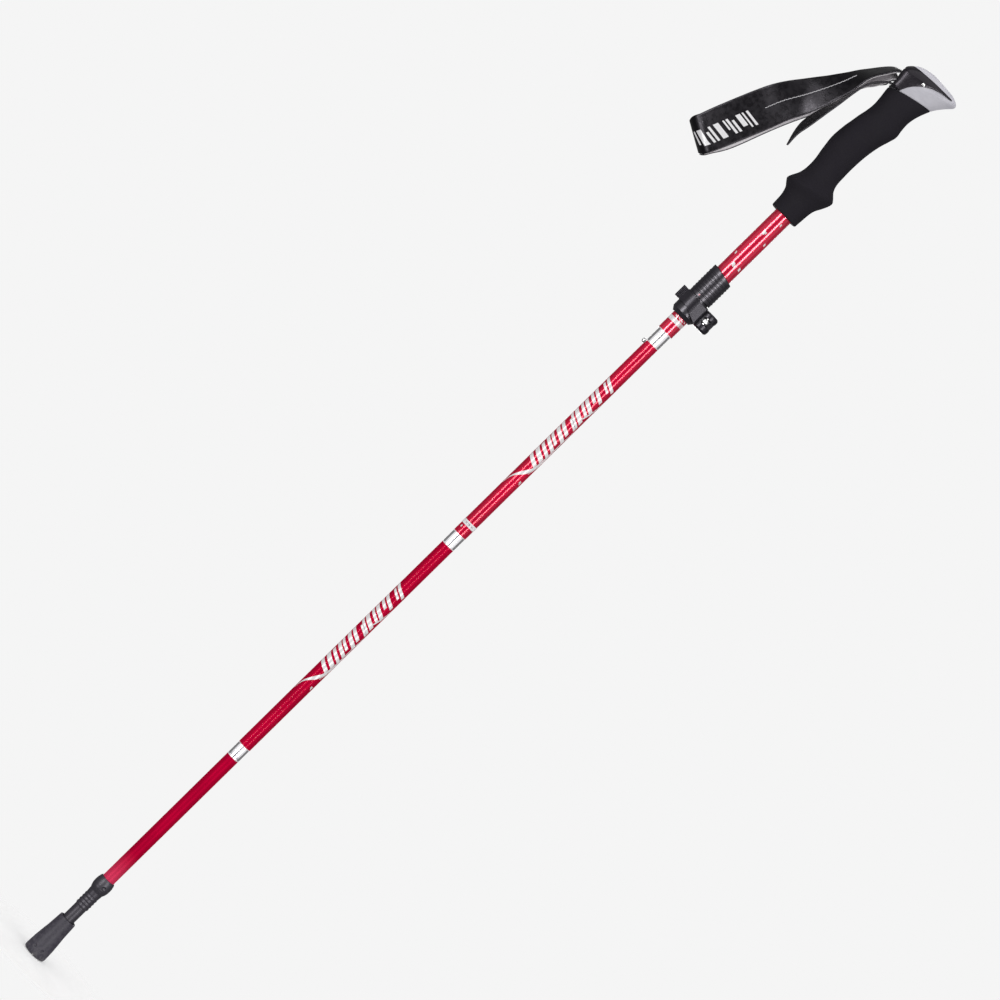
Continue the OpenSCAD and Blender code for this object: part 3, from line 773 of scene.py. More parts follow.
def add_head():
    fine = list(np.arange(FOAM_TOP, 1118, 0.8)) + list(np.arange(1118, HEAD_TOP, 0.3)) + [HEAD_TOP]

    def eased(x, z, t):
        """Its lower edge is rounded where it meets the foam."""
        return np.full(len(x), -0.5 * max(0.0, 1 - (t - FOAM_TOP) / 1.2) ** 2)

    head = skin("head_shell_looks", grip_rings(fine, 144, eased, square=4))
    carve(head, prism("slot", SLOT, -12.4, 12.4))
    carve(head, cross_hole(HEAD_PIN, 1.5))
    melted(head, 0.32, 5)
    fit(head, "handle", "grey_plastic", head_material(), "head_shell")

    crease_x, crease_z = (-22, -17, -6, 4.2, 16, 33), (1105.6, 1106.6, 1107.4, 1109.9, 1113.6, 1117.3)
    top_x, top_z = (-26, -13.4, 9, 31, 40), (1114.6, 1115.3, 1116.8, 1117.6, 1118)
    bottom_x = (-9, -8.5, -6.9, -4.3, -1, 5.1, 12.4, 21.1, 30, 40)
    bottom_z = (1078, 1082, 1090, 1096.1, 1100.7, 1106.6, 1111.2, 1114.4, 1115.8, 1116.8)

    def roof(x, z, t):
        """Proudest along the crease, and falling to its borders."""
        crease = np.interp(x, crease_x, crease_z)
        above = np.maximum(np.interp(x, top_x, top_z) - crease, 0.6)
        below = np.maximum(crease - np.interp(x, bottom_x, bottom_z), 0.6)
        off = z - crease
        share = np.where(off > 0, off / above, -off / np.minimum(below, 9))
        return 0.3 + 1.1 * np.clip(1 - share, 0, 1) * np.clip((36 - x) / 12, 0, 1)

    heights = np.arange(FOAM_TOP + 0.05, 1120, 0.5)
    trim = skin("head_trim_looks", grip_rings(heights, 180, roof, square=4))
    carve(trim, prism("outline", TRIM, -29, 29), "INTERSECT")
    carve(trim, prism("slot", SLOT, -12.4, 12.4))
    carve(trim, cross_hole(HEAD_PIN, 1.5))
    melted(trim, 0.26, 3)
    fit(trim, "handle", "black_trim", trim_material(), "head_trim")

    for name, place, half in (("head_pin", HEAD_PIN, 17.0), ("strap_pin", STRAP_PIN, 15.2)):
        pin = dished_pin(name + "_looks", 1.45, -half, half, 0.45, 0.35, 0.2)
        moved(pin, place[0], 0, place[1], 90, "X")
        fit(pin, "handle", "steel", steel(name + "_steel", 0.9, 0.2), name)


def head_material():
    """Matt silver-grey plastic with a faint pearl in it, the mould's parting line along the middle, and
    painted shade darkening its hollows.
    """
    tree = Tree("head_plastic")
    x, y, z = tree.place()
    fine = tree.noise(3.2, detail=6)
    speck = tree.cells(2.6)
    flow = tree.noise(0.07, 0.07, 0.12, detail=4)
    shade = tree.mix(tree.between(flow, 0.3, 0.7), (0.50, 0.49, 0.54), (0.58, 0.57, 0.62))
    shade = tree.mix(tree.between(speck, 0.06, 0.22, 0.35, 0), shade, (0.78, 0.77, 0.82))
    # Painted shade: the hollows, where pointiness is low, are darkened in colour.
    painted_hollow_shade = tree.times(tree.between(tree.add("NewGeometry").outputs["Pointiness"], 0.42, 0.49, 1, 0), 0.5)
    shade = tree.mix(painted_hollow_shade, shade, (0.22, 0.215, 0.24))
    seam = tree.between(tree.math("ABSOLUTE", y), 0.05, 0.22, 1, 0)
    height = tree.plus(tree.times(speck, 0.5), tree.times(fine, 0.5))
    height = tree.plus(height, tree.times(seam, 1.8))
    return tree.surface(
        Base_Color=shade,
        Specular_IOR_Level=0.12,
        Roughness=tree.between(fine, 0.3, 0.7, 0.52, 0.64),
        Normal=tree.bump(height, 0.03, 0.8),
    )


def trim_material():
    """Smooth black plastic with wipe marks and paler worn edges."""
    tree = Tree("black_trim")
    wiped = tree.noise(0.5, 0.5, 1.8, detail=6)
    fine = tree.noise(5, detail=4)
    shade = tree.mix(tree.between(wiped, 0.35, 0.7), (0.0075, 0.0063, 0.0092), (0.0105, 0.0090, 0.0128))
    shade = tree.mix(tree.times(tree.edges(0.51, 0.58), 0.35), shade, (0.10, 0.097, 0.11))
    return tree.surface(
        Base_Color=shade,
        Roughness=tree.between(wiped, 0.3, 0.7, 0.29, 0.35),
        Specular_IOR_Level=0.17,
        Specular_Tint=(0.97, 0.90, 1.0),
        Normal=tree.bump(fine, 0.006, 0.6),
    )


def add_foam():
    heights = [FOAM_BOTTOM + 1.4 * (1 - math.cos(a)) for a in np.linspace(0, math.pi / 2, 7)]
    heights += list(np.arange(943, FOAM_TOP - 1.6, 0.9))
    heights += [FOAM_TOP - 0.05 - 1.2 * (1 - math.sin(a)) for a in np.linspace(0, math.pi / 2, 7)]

    def rounded(x, z, t):
        """Rounded at both ends, and a little uneven as ground foam is."""
        low_end = max(0.0, 1 - (t - FOAM_BOTTOM) / 1.4)
        high_end = max(0.0, 1 - (FOAM_TOP - t) / 1.2)
        drawn_in = 1.4 * (1 - math.sqrt(1 - low_end**2)) + 0.9 * (1 - math.sqrt(max(0, 1 - high_end**2)))
        return 0.10 * np.sin(0.21 * x + 0.13 * t) * math.sin(0.09 * t + 1) - drawn_in

    foam = skin("foam_grip_looks", grip_rings(heights, 160, rounded, level=(941, 960)), sharp=60)
    fit(foam, "handle", "foam", foam_material(), "foam_grip")


# ---- tubes and joints ----

STRAP_PIN, HEAD_PIN = (-8.0, 1099.0), (4.2, 1108.4)
UPPER_R, INNER_R, TUBE_3_R, TUBE_4_R, TUBE_5_R = 9.0, 8.0, 6.85, 6.65, 6.4
WALL, THIN_WALL = 0.8, 0.75
JOINT_1, JOINT_2, JOINT_3 = 778.5, 523.5, 253.0
BAND, LOW_BAND = 15.0, 13.5
NOSE = 7.5
BUTTON_Z = JOINT_1 - 2.5
CORD_X, CORD_R = 1.8, 1.1


def pipe(name, r, wall, z0, z1, extra=()):
    """A tube whose rims are broken as a deburring tool leaves them."""
    outside = [(r, z0, 0.18), *[(r, z, 0) for z in extra], (r, z1, 0.18)]
    return lathe(name, [*outside, (r - wall, z1, 0.12), (r - wall, z0, 0.12)], sides=144)


def notch(half):
    """Shape of the cut at the top of tube 3 that drops over the snap button."""
    outline = [(half * math.cos(a), BUTTON_Z + half * math.sin(a)) for a in np.linspace(-math.pi, 0, 33)]
    wide, low, high = half + 0.5, JOINT_1 - 0.5, JOINT_1 + 1
    outline += [(half, low), (wide, high), (-wide, high), (-half, low)]
    return moved(prism("notch", outline, -20, 0), 0, 0, 0, -90)


def add_tubes():
    band_1, band_2, band_3 = JOINT_1 + BAND, JOINT_2 + LOW_BAND, JOINT_3 + LOW_BAND
    tubes = (
        # node, body, material, radius, wall, lower end, upper end, worn ends, gloss
        ("upper_tube", "handle", "upper_red", UPPER_R, WALL, 837.1, 1086, (), 1.0),
        ("inner_tube", "inner", "inner_red", INNER_R, WALL, band_1, 1046, (band_1,), 1.0),
        ("tube_3", "section_3", "tube_3_red", TUBE_3_R, THIN_WALL, band_2, JOINT_1, (JOINT_1, band_2), 0.62),
        ("tube_4", "section_4", "tube_4_red", TUBE_4_R, THIN_WALL, band_3, JOINT_2, (JOINT_2, band_3), 0.28),
        ("tube_5", "section_5", "tube_5_red", TUBE_5_R, THIN_WALL, 81, JOINT_3, (JOINT_3,), 0.15),
    )
    for node, body, red, r, wall, z0, z1, ends, gloss in tubes:
        tube = pipe(node + "_looks", r, wall, z0, z1, extra=(760, 768) if node == "tube_3" else ())
        if node == "tube_3":
            carve(tube, notch(2.75))
            smooth(tube.data, 35)
        # The lowest tube gets a painted pool of light near its foot.
        painted_light_span = (94, 132) if node == "tube_5" else None
        fit(tube, body, "red_tube", anodised(red, ends, gloss, painted_light_span), node)

    outline = [
        (4, 1034), (7.15, 1034), (7.15, 1045.8), (8.12, 1046.2), (8.12, 1055.4), (7.4, 1056), (4, 1056),
    ]
    guide = lathe("guide_plug_looks", outline, fillet=0.25)
    fit(guide, "inner", "dark_plastic", moulded("guide_plastic", DARK, 0.5), "guide_plug")


def nose_outline(joint, socket_r, pivot):
    reach = pivot + socket_r - 0.05
    return [(math.sqrt(reach**2 - s**2) - pivot, joint - s, 0) for s in np.linspace(NOSE, 0.4, 12)]


def add_ferrules():
    bore = 3.1
    joints = [
        ("ferrule_1", "inner", JOINT_1, TUBE_3_R, 7.18, TUBE_3_R - THIN_WALL, 10.5),
        ("ferrule_2", "section_3", JOINT_2, TUBE_4_R, 6.08, TUBE_4_R - THIN_WALL, 8.0),
        ("ferrule_3", "section_4", JOINT_3, TUBE_5_R, 5.88, TUBE_5_R - THIN_WALL, 8.0),
    ]
    for name, body, joint, band_r, shank_r, socket_r, pivot in joints:
        band = BAND if joint == JOINT_1 else LOW_BAND
        nose = nose_outline(joint, socket_r, pivot)
        outline = [
            (bore, joint - NOSE), *nose,
            (socket_r - 0.12, joint - 0.05, 0.05), (band_r - 0.05, joint + 0.02, 0.16),
            (band_r - 0.05, joint + 1.2, 0), (band_r, joint + 1.45, 0), (band_r, joint + band - 1.45, 0),
            (band_r - 0.05, joint + band - 1.2, 0), (band_r - 0.05, joint + band, 0.16),
            (shank_r, joint + band + 0.05), (shank_r, joint + band + 18), (bore, joint + band + 18),
        ]
        ferrule = lathe(name + "_looks", outline, fillet=0.3, sides=160)
        if name == "ferrule_1":
            hole = lathe("hole", rectangle(0, 2.42, -12, 0), fillet=0, sides=48)
            carve(ferrule, moved(hole, 0, 0, BUTTON_Z, 90, "Y"))
            smooth(ferrule.data, 35)
        fit(ferrule, body, "polished_metal", polished(name + "_metal"), name)

    dome = [(2.35 * math.cos(a), 8.2 + 1.9 * math.sin(a), 0) for a in np.linspace(0, math.pi / 2, 14)]
    outline = [(0, 2.7), (2.9, 2.7), (2.9, 3.3), (2.35, 3.3), *dome]
    button = lathe("snap_button_looks", outline, sides=96)
    moved(button, 0, 0, BUTTON_Z, -90, "Y")
    fit(button, "button", "steel", steel("button_steel", 0.78, 0.17), "snap_button")

    bore_r, rim_r, low, high = TUBE_3_R + 0.02, TUBE_3_R + 0.25, JOINT_2 + 24, JOINT_2 + 28.6
    crown = (TUBE_3_R + 0.3, JOINT_2 + 26.3, 0.6)
    outline = [(bore_r, low), (rim_r, low), crown, (rim_r, high), (bore_r, high)]
    ring = lathe("marker_ring_looks", outline, fillet=0.12)
    plastic = moulded("ring_plastic", (0.86, 0.84, 0.85), 0.42, worn=0.1)
    fit(ring, "section_3", "white_plastic", plastic, "marker_ring")


def add_cords():
    braid = braid_material()
    for part in ("inner", "section_3", "section_4", "section_5"):
        keep("cord_" + part, braid)
    plain = moulded("anchor_plastic", DARK, 0.55)
    keep("cord_anchor_top", plain)
    keep("cord_anchor_bottom", plain)
    keep("button_spring", steel("spring_steel", 0.6, 0.3))

    crossings = (
        ("cord_joint_1", "inner", "section_3", JOINT_1),
        ("cord_joint_2", "section_3", "section_4", JOINT_2),
        ("cord_joint_3", "section_4", "section_5", JOINT_3),
    )
    for node, upper, lower, joint in crossings:
        z0, z1 = joint - NOSE - 8, joint + 4
        cord = skin(node + "_looks", [circle(CORD_X, CORD_R, z, 24) for z in np.linspace(z0, z1, 140)])
        cord.data.materials.append(braid)
        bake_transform(cord)
        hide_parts(node)


# ---- lock ----

DARK = (0.0125, 0.0112, 0.0160)
LOCK_LOW, CLAMP_TOP, SLEEVE_TOP, LOCK_Z = 813.0, 836.5, 868.5, 825.6
LEVER_LOW, LEVER_HIGH = LOCK_Z - 9.7, LOCK_Z + 8.9
CLAMP_R, SLEEVE_R, LOCK_BORE, EAR_Y, PIN_X, PIN_Y = 12.5, 11.8, 8.12, 5.5, 18.0, -14.36


def add_lock():
    plastic = moulded("lock_plastic", DARK, 0.30, grain_size=0.3, grain=0.0045, worn=0.5, shine=0.34)

    outline = [
        (LOCK_BORE, LOCK_LOW), (9.6, LOCK_LOW, 0.5), (CLAMP_R, LOCK_LOW + 4, 1.6), (CLAMP_R, CLAMP_TOP, 0.8),
        (11.0, CLAMP_TOP + 0.6), (LOCK_BORE, CLAMP_TOP + 0.6),
    ]
    clamp = lathe("lock_body_looks", outline, fillet=0.4, sides=144)
    corners = [np.array(p, float) for p in rectangle(6, 26.4, LEVER_LOW + 1, LEVER_HIGH - 1)]
    rounded = []
    for i, p in enumerate(corners):
        radius = 3 if p[0] > 20 else 0.5
        rounded += [tuple(q) for q in corner(corners[i - 1], p, corners[(i + 1) % 4], radius)]
    carve(clamp, prism("ears", rounded, -EAR_Y, EAR_Y), "UNION")
    below, above = 800, 850  # beyond the clamp's ends
    carve(clamp, lathe("bore", rectangle(0, LOCK_BORE, below, above), fillet=0, sides=144))
    carve(clamp, prism("split", rectangle(2, 40, below, above), -0.8, 0.8))
    carve(clamp, prism("slit", rectangle(-4, 40, CLAMP_TOP - 1, CLAMP_TOP + 4), -30, 30))
    carve(clamp, cross_hole((PIN_X, LOCK_Z), 2.2))
    melted(clamp, 0.25, 5)

    ribs = [CLAMP_TOP + 4.35 + 3.4 * i for i in range(7)]
    profile = [
        (8.15, CLAMP_TOP - 2), (10.2, CLAMP_TOP - 2), (10.2, CLAMP_TOP - 0.02),
        (SLEEVE_R - 0.3, CLAMP_TOP), (SLEEVE_R - 0.1, CLAMP_TOP + 0.3),
    ]
    for z in np.arange(CLAMP_TOP + 1.0, SLEEVE_TOP - 4.6, 0.2):
        near = min(abs(z - rib) for rib in ribs)
        profile.append((SLEEVE_R - 0.08 + 0.38 * math.exp(-((near / 0.62) ** 4)), z))
    top = SLEEVE_TOP - 2.4
    profile += [
        (SLEEVE_R, top - 1.9), (SLEEVE_R, top - 0.9), (SLEEVE_R - 0.1, top - 0.35),
        (SLEEVE_R - 0.35, top - 0.08), (SLEEVE_R - 0.7, top),
        (9.6, top), (9.3, top - 0.12), (9.05, top - 0.45), (9.05, top - 6),
        (9.05, CLAMP_TOP + 0.4), (8.15, CLAMP_TOP + 0.3),
    ]
    sides = 144
    rings = [circle(0, r, z, sides) for r, z in profile]
    for ring in rings:
        tilt = np.clip((ring[:, 2] - (top - 9)) / 9, 0, 1)
        ring[:, 2] -= 0.194 * ring[:, 0] * tilt * tilt
    faces = ring_faces(len(rings), sides, closed=True)
    sleeve = made("lock_sleeve_looks", np.concatenate(rings), faces, 45)
    fit(clamp, "handle", "dark_plastic", plastic, "lock_body")
    fit(sleeve, "handle", "dark_plastic", plastic)

    lever = melted(copied("lock_lever", "lock_lever_looks"), 0.25, 5)
    for x0, x1, y0, y1 in ((12.7, 14.0, -26, -18.4), (24.1, 25.1, -26, -18.2)):
        carve(lever, prism("groove", rectangle(x0, x1, LEVER_LOW + 1.6, LEVER_HIGH - 1.6), y0, y1))
    smooth(lever.data, 50)
    ribbed = moulded("lever_plastic", DARK, 0.29, grain_size=0.3, grain=0.0045, worn=0.5, lines=tab_lines)
    fit(lever, "lever", "dark_plastic", ribbed, "lock_lever")
    nut = melted(copied("thumb_nut", "thumb_nut_looks"), 0.17, 3)
    fit(nut, "nut", "dark_plastic", plastic, "thumb_nut")

    bright = steel("bolt_steel", 0.80, 0.42)
    eye_low, eye_high = LOCK_Z - 2.2, LOCK_Z + 2.2
    outline = [
        (1.53, eye_low), (2.4, eye_low, 0.2), (3.1, eye_low + 0.9, 1.2), (3.25, LOCK_Z, 2),
        (3.1, eye_high - 0.9, 1.2), (2.4, eye_high, 0.2), (1.53, eye_high),
    ]
    eye = lathe("tension_bolt_looks", outline, fillet=0.2, sides=96)
    moved(eye, PIN_X, PIN_Y, 0)
    thread = [(2.0 - 0.22 * (i % 2), y, 0) for i, y in enumerate(np.arange(EAR_Y - 1, EAR_Y + 6.8, 0.4))]
    outline = [(0, PIN_Y + 2), (2.0, PIN_Y + 2), *thread, (1.5, EAR_Y + 7), (0, EAR_Y + 7)]
    shank = lathe("shank", outline, fillet=0.1, sides=64)
    moved(shank, 0, 0, 0, 180, "X")
    moved(shank, PIN_X, 0, LOCK_Z, 90, "X")
    fit(shank, "handle", "steel", bright)
    shank.name = "bolt_shank_looks"
    fit(eye, "handle", "steel", bright, "tension_bolt")
    z0, z1 = LEVER_LOW + 0.8, LEVER_HIGH - 0.8
    pin = dished_pin("lever_pin_looks", 1.5, z0, z1, 0.5, 0.3, 0.22)
    moved(pin, PIN_X, PIN_Y, 0)
    fit(pin, "handle", "steel", bright, "lever_pin")


# ---- tip ----


def ball(name, r, steps, sides):
    half_turn = np.linspace(0, math.pi, steps + 1)
    return lathe(name, [(r * math.sin(a), -r * math.cos(a), 0) for a in half_turn], sides=sides)


def add_tip():
    ridges = []
    for i in range(4):
        z = 60.5 + 3.5 * i
        ridges += [(6.35, z, 0.3), (6.78, z + 1.1, 0.3), (6.78, z + 1.9, 0.3), (6.35, z + 3, 0.3)]
    outline = [
        (0, 22), (4.6, 22), (5.6, 34), (6.05, 34.5), (6.05, 60.4), *ridges,
        (6.6, 75.4), (6.9, 79.5, 1), (8, 82, 2), (8.6, 84.5, 3), (8.8, 87.5, 3), (8.6, 90.5, 3),
        (8, 93.4, 2), (7.2, 95, 0.4), (6.45, 95, 0.15), (6.45, 84), (0, 84),
    ]
    holder = lathe("tip_holder_looks", outline, fillet=0.25, sides=160)
    dimple = ball("dimple", 2.5, 24, 64)
    turn = math.radians(21)
    carve(holder, moved(dimple, 9.9 * math.sin(turn), -9.9 * math.cos(turn), 87.4))
    smooth(holder.data, 40)
    plastic = moulded("tip_plastic", (0.030, 0.027, 0.036), 0.44, worn=0.45, shine=0.27)
    fit(holder, "section_5", "dark_plastic", plastic, "tip_holder")

    outline = [(0, 17.1), (1.15, 16.2), (1.9, 15.9), (2, 17), (2, 31.5), (0, 31.5)]
    tip = lathe("carbide_tip_looks", outline, fillet=0.1, sides=96)
    fit(tip, "section_5", "steel", steel("carbide", 0.42, 0.38), "carbide_tip")

    outline = [
        (0, 0, 0), (10.4, 0), (11.2, 0.6), (11.5, 1.8, 0.4), (11.55, 4, 2), (11.2, 12, 8), (10.5, 20, 8),
        (9.6, 28, 8), (9.1, 36, 4), (8.65, 43.4, 0.5), (8.2, 44), (7.4, 44), (7.2, 41.8), (6.1, 41.4),
        (6.1, 33.5), (5.75, 33), (5.4, 20.5), (2.6, 20.5), (2.6, 14), (0, 14, 0),
    ]
    foot = lathe("rubber_foot_looks", outline, fillet=0.4, sides=144)
    carve(foot, lathe("tread", rectangle(5.4, 7, -1, 1.5), fillet=0, sides=96))
    for i in range(8):
        groove = prism("groove", rectangle(6.5, 14.5, -1, 1.5), -0.8, 0.8)
        carve(foot, moved(groove, 0, 0, 0, 45 * i))
        cup = moved(ball("cup", 1.9, 18, 40), 12.25, 0, 8.5)
        carve(foot, moved(cup, 0, 0, 0, 45 * i + 22.5))
    melted(foot, 0.3, 5)
    fit(foot, "foot", "foot_rubber", rubber_material(), "rubber_foot")


# ---- wrist strap ----

LEAN = math.radians(29)
WEBBING = 1.6
FOLD_R = 12.0
FOLD_X, FOLD_Z, FOLD_W = -100.2, 943.5, 35.5

# Step, centre, width and twist of the webbing
FRONT = [
    (0, -8, 0, 1101.4, 24, 0),
    (1, -12.5, 0, 1103.4, 24, 5),
    (2, -17.5, 0, 1104.6, 24, 10),
    (3, -23, -0.5, 1102, 24, 14),
    (4, -29.5, -1.5, 1094, 24, 18),
    (5, -39, -4, 1079, 25, 26),
    (6, -47, -6.6, 1058, 25, 57),
    (7, -61, -8.6, 1030.5, 33, 71),
    (8, -72.7, -0.2 - FOLD_R, 1010, 35, 84),
    (9, -81, 0.4 - FOLD_R, 991, 36.5, 91),
    (10, -93.6, -0.6 - FOLD_R, 960, 36.5, 90),
    (11, FOLD_X, -FOLD_R, FOLD_Z, FOLD_W, 90),
]
BACK = [
    (0, FOLD_X, FOLD_R, FOLD_Z, FOLD_W, 90),
    (1, -91.8, FOLD_R, 959, 36.5, 90),
    (2, -79.8, FOLD_R, 990, 36, 90),
    (3, -70.5, FOLD_R - 0.5, 1010, 34, 90),
    (4, -58.5, 10.5, 1031, 30, 86),
    (5, -47, 9.5, 1052, 24, 68),
    (6, -41, 8, 1068, 22, 48),
    (7, -35, 5.5, 1079.3, 22, 46),
    (8, -28.5, 2.8, 1088, 23, 46),
    (9, -21, 1, 1094.4, 24, 38),
    (10, -14, 0, 1096.4, 24, 12),
    (11, -8, 0, 1096.6, 24, 0),
]
TAIL = [
    (0, -12.5, -7.4, 1092, 9, 0),
    (1, -20, -7.6, 1088, 9, 0),
    (2, -26.4, -8.8, 1081.3, 9, 0),
    (3, -31.4, -10, 1072.5, 9, 5),
    (4, -34.6, -10, 1060, 10, 12),
    (5, -37.4, -9.8, 1045, 12, 20),
    (6, -41.4, -9, 1028, 14.5, 30),
    (7, -44.2, -8.5, 1012, 14, 36),
    (8, -44.6, -8, 1000, 8, 38),
    (9, -42.4, -7.6, 986, 1.4, 38),
]


class Tape:
    """Webbing along a run of rows. Points on it are given along it, across it and off its face."""

    sag = 0.25
    phase = 0.0

    def __init__(self, rows, closed=False):
        rows = np.array(rows, float)
        self.closed = closed
        self.centre, self.width = rows[:, 1:4], rows[:, 4]
        twist = np.radians(rows[:, 5])
        turned = np.sin(twist)
        self.side = np.stack([-turned * math.cos(LEAN), np.cos(twist), turned * math.sin(LEAN)], axis=1)
        if closed:
            ahead = np.roll(self.centre, -1, axis=0) - np.roll(self.centre, 1, axis=0)
        else:
            ahead = np.gradient(self.centre, axis=0)
        ahead = ahead / np.linalg.norm(ahead, axis=1)[:, None]
        self.side = self.side - np.sum(self.side * ahead, axis=1)[:, None] * ahead
        self.side /= np.linalg.norm(self.side, axis=1)[:, None]
        out = np.cross(self.side, ahead)
        self.out = out / np.linalg.norm(out, axis=1)[:, None]
        steps = np.linalg.norm(np.diff(self.centre, axis=0), axis=1)
        self.along = np.concatenate([[0], np.cumsum(steps)])

    def bow(self, along, across, half):
        """How far the cloth swells off its flat shape."""
        s = along + self.phase
        swell = self.sag * (1.4 + math.sin(0.11 * s + 0.7)) * np.cos(1.3 * across / half)
        swell += 0.5 * self.sag * math.sin(0.31 * s) * np.sin(2.5 * across / half)
        return swell * min(1.0, max(0.0, (half - 6) / 6))

    def at(self, along, across, off):
        def between(values):
            return np.array([np.interp(along, self.along, values[:, i]) for i in range(3)])

        half = np.interp(along, self.along, self.width) / 2
        off = off + self.bow(along, across, half)
        return between(self.centre) + across * between(self.side) + off * between(self.out)

    def nearest(self, x, z):
        """How far along the tape its middle comes nearest to a place in the side view."""
        gap = np.hypot(self.centre[:, 0] - x, self.centre[:, 2] - z)
        return float(self.along[int(np.argmin(gap))])

    def area(self):
        return float(np.sum(np.diff(self.along) * (self.width[1:] + self.width[:-1]) / 2))

    def mesh(self, name, thick, shift=0.0, columns=26, grow=None):
        """A closed strip with rounded edges. grow gives what is added to each side's half width."""
        r = thick / 2
        places, across, edge = [], [], []
        count = len(self.centre)
        for i in range(count):
            half = self.width[i] / 2
            left = half + (grow(self.along[i])[0] if grow else 0)
            right = half + (grow(self.along[i])[1] if grow else 0)
            flat = np.linspace(1, 0, columns)
            a_top = -(right - r) + flat * (left + right - 2 * r)
            cap = np.linspace(math.pi / 2, -math.pi / 2, 7)[1:-1]
            bulge = r * np.cos(cap)
            a = np.concatenate([a_top, -(right - r) - bulge, a_top[::-1], left - r + bulge])
            rise, face = r * np.sin(cap), np.full(columns, r)
            o = np.concatenate([face, rise, -face, -rise])
            wave = self.bow(self.along[i], a, half)
            p = self.centre[i] + a[:, None] * self.side[i] + (o + shift + wave)[:, None] * self.out[i]
            places.append(p)
            across.append(a)
            edge.append(np.minimum(left - a, a + right))
        n = len(places[0])
        faces = ring_faces(count, n, self.closed)
        if not self.closed:
            faces += [list(range(n)), list(range((count - 1) * n, count * n))]
        obj = made(name, np.concatenate(places), faces, 60)
        across, edge = np.concatenate(across), np.concatenate(edge)
        along = np.repeat(self.along, n)
        uv = obj.data.uv_layers.new(name="tape")
        corners = np.zeros(len(obj.data.loops), dtype=np.int32)
        obj.data.loops.foreach_get("vertex_index", corners)
        pairs = np.stack([across[corners], along[corners]], axis=1).astype(np.float32)
        uv.data.foreach_set("uv", pairs.ravel())
        attribute = obj.data.attributes.new("edge", "FLOAT", "POINT")
        attribute.data.foreach_set("value", edge.astype(np.float32))
        return obj


def strap_tape():
    fold = []
    for a in np.radians(np.arange(4, 180, 4)):
        run_out = 0.88 * FOLD_R * math.sin(a)
        x, z = FOLD_X - run_out * math.sin(LEAN), FOLD_Z - run_out * math.cos(LEAN)
        fold.append((0, x, -FOLD_R * math.cos(a), z, FOLD_W - 4.5 * math.sin(a) ** 6, 90))
    turn = []
    for a in np.radians(np.arange(15, 180, 15)):
        turn.append((0, STRAP_PIN[0] + 2.4 * math.sin(a), 0, STRAP_PIN[1] - 2.4 * math.cos(a), 24, 0))
    front, back = sampled(FRONT, np.arange(0, 11.01, 0.05)), sampled(BACK, np.arange(0, 11.01, 0.05))
    return Tape(np.concatenate([front, fold, back, turn]), closed=True), len(front), len(front) + len(fold)


def beads(name, lines, radius, sides=8):
    """Stitches: a short plump thread along each line of two points, with a third for its bulge."""
    places, faces = [], []
    for start, middle, end in lines:
        start, middle, end = (np.array(p, float) for p in (start, middle, end))
        ahead = (end - start) / np.linalg.norm(end - start)
        one = np.cross(ahead, (0.3, 0.8, 0.5))
        one /= np.linalg.norm(one)
        two = np.cross(ahead, one)
        first = len(places)
        steps = np.linspace(0, 1, 9)
        for f in steps:
            c = (1 - f) ** 2 * start + 2 * f * (1 - f) * middle + f * f * end
            r = radius * math.sqrt(max(0.04, 1 - (2 * f - 1) ** 4))
            places += [c + r * (math.cos(t) * one + math.sin(t) * two) for t in turns(sides)]
        faces += ring_faces(len(steps), sides, first=first)
        faces += [list(range(first, first + sides)), list(range(len(places) - sides, len(places)))]
    return made(name, places, faces, 80)


def printed(name, polygons, place, step_u, step_v, thick=0.05):
    """Thin printed shapes. place carries outlines given across and along to the surface."""
    places, faces = [], []
    for polygon in polygons:
        bm = bmesh.new()
        verts = [bm.verts.new((u, v, 0)) for u, v in polygon]
        bm.faces.new(verts)
        us, vs = [p[0] for p in polygon], [p[1] for p in polygon]
        for low_end, high_end, step, axis in ((min(us), max(us), step_u, 0), (min(vs), max(vs), step_v, 1)):
            for cut in np.arange(math.ceil(low_end / step) * step, high_end, step):
                point, normal = [0, 0, 0], [0, 0, 0]
                point[axis], normal[axis] = float(cut), 1
                geometry = [*bm.verts, *bm.edges, *bm.faces]
                bmesh.ops.bisect_plane(bm, geom=geometry, dist=1e-6, plane_co=point, plane_no=normal)
        bmesh.ops.triangulate(bm, faces=bm.faces)
        bmesh.ops.solidify(bm, geom=bm.faces[:], thickness=1.0)
        bm.verts.ensure_lookup_table()
        first = len(places)
        places += [place(v.co.x, v.co.y, -0.03 if abs(v.co.z) < 0.5 else thick) for v in bm.verts]
        faces += [[first + v.index for v in f.verts] for f in bm.faces]
        bm.free()
    return made(name, places, faces, 35)


def hung(obj, material, node, tape, rest):
    """A strap piece: gives it its material, bakes its mesh in place and hides the CAD node that it stands
    for.
    """
    obj.data.materials.append(material)
    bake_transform(obj)
    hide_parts(node)
    length, area = tape.along[-1] * MM, tape.area() * MM * MM


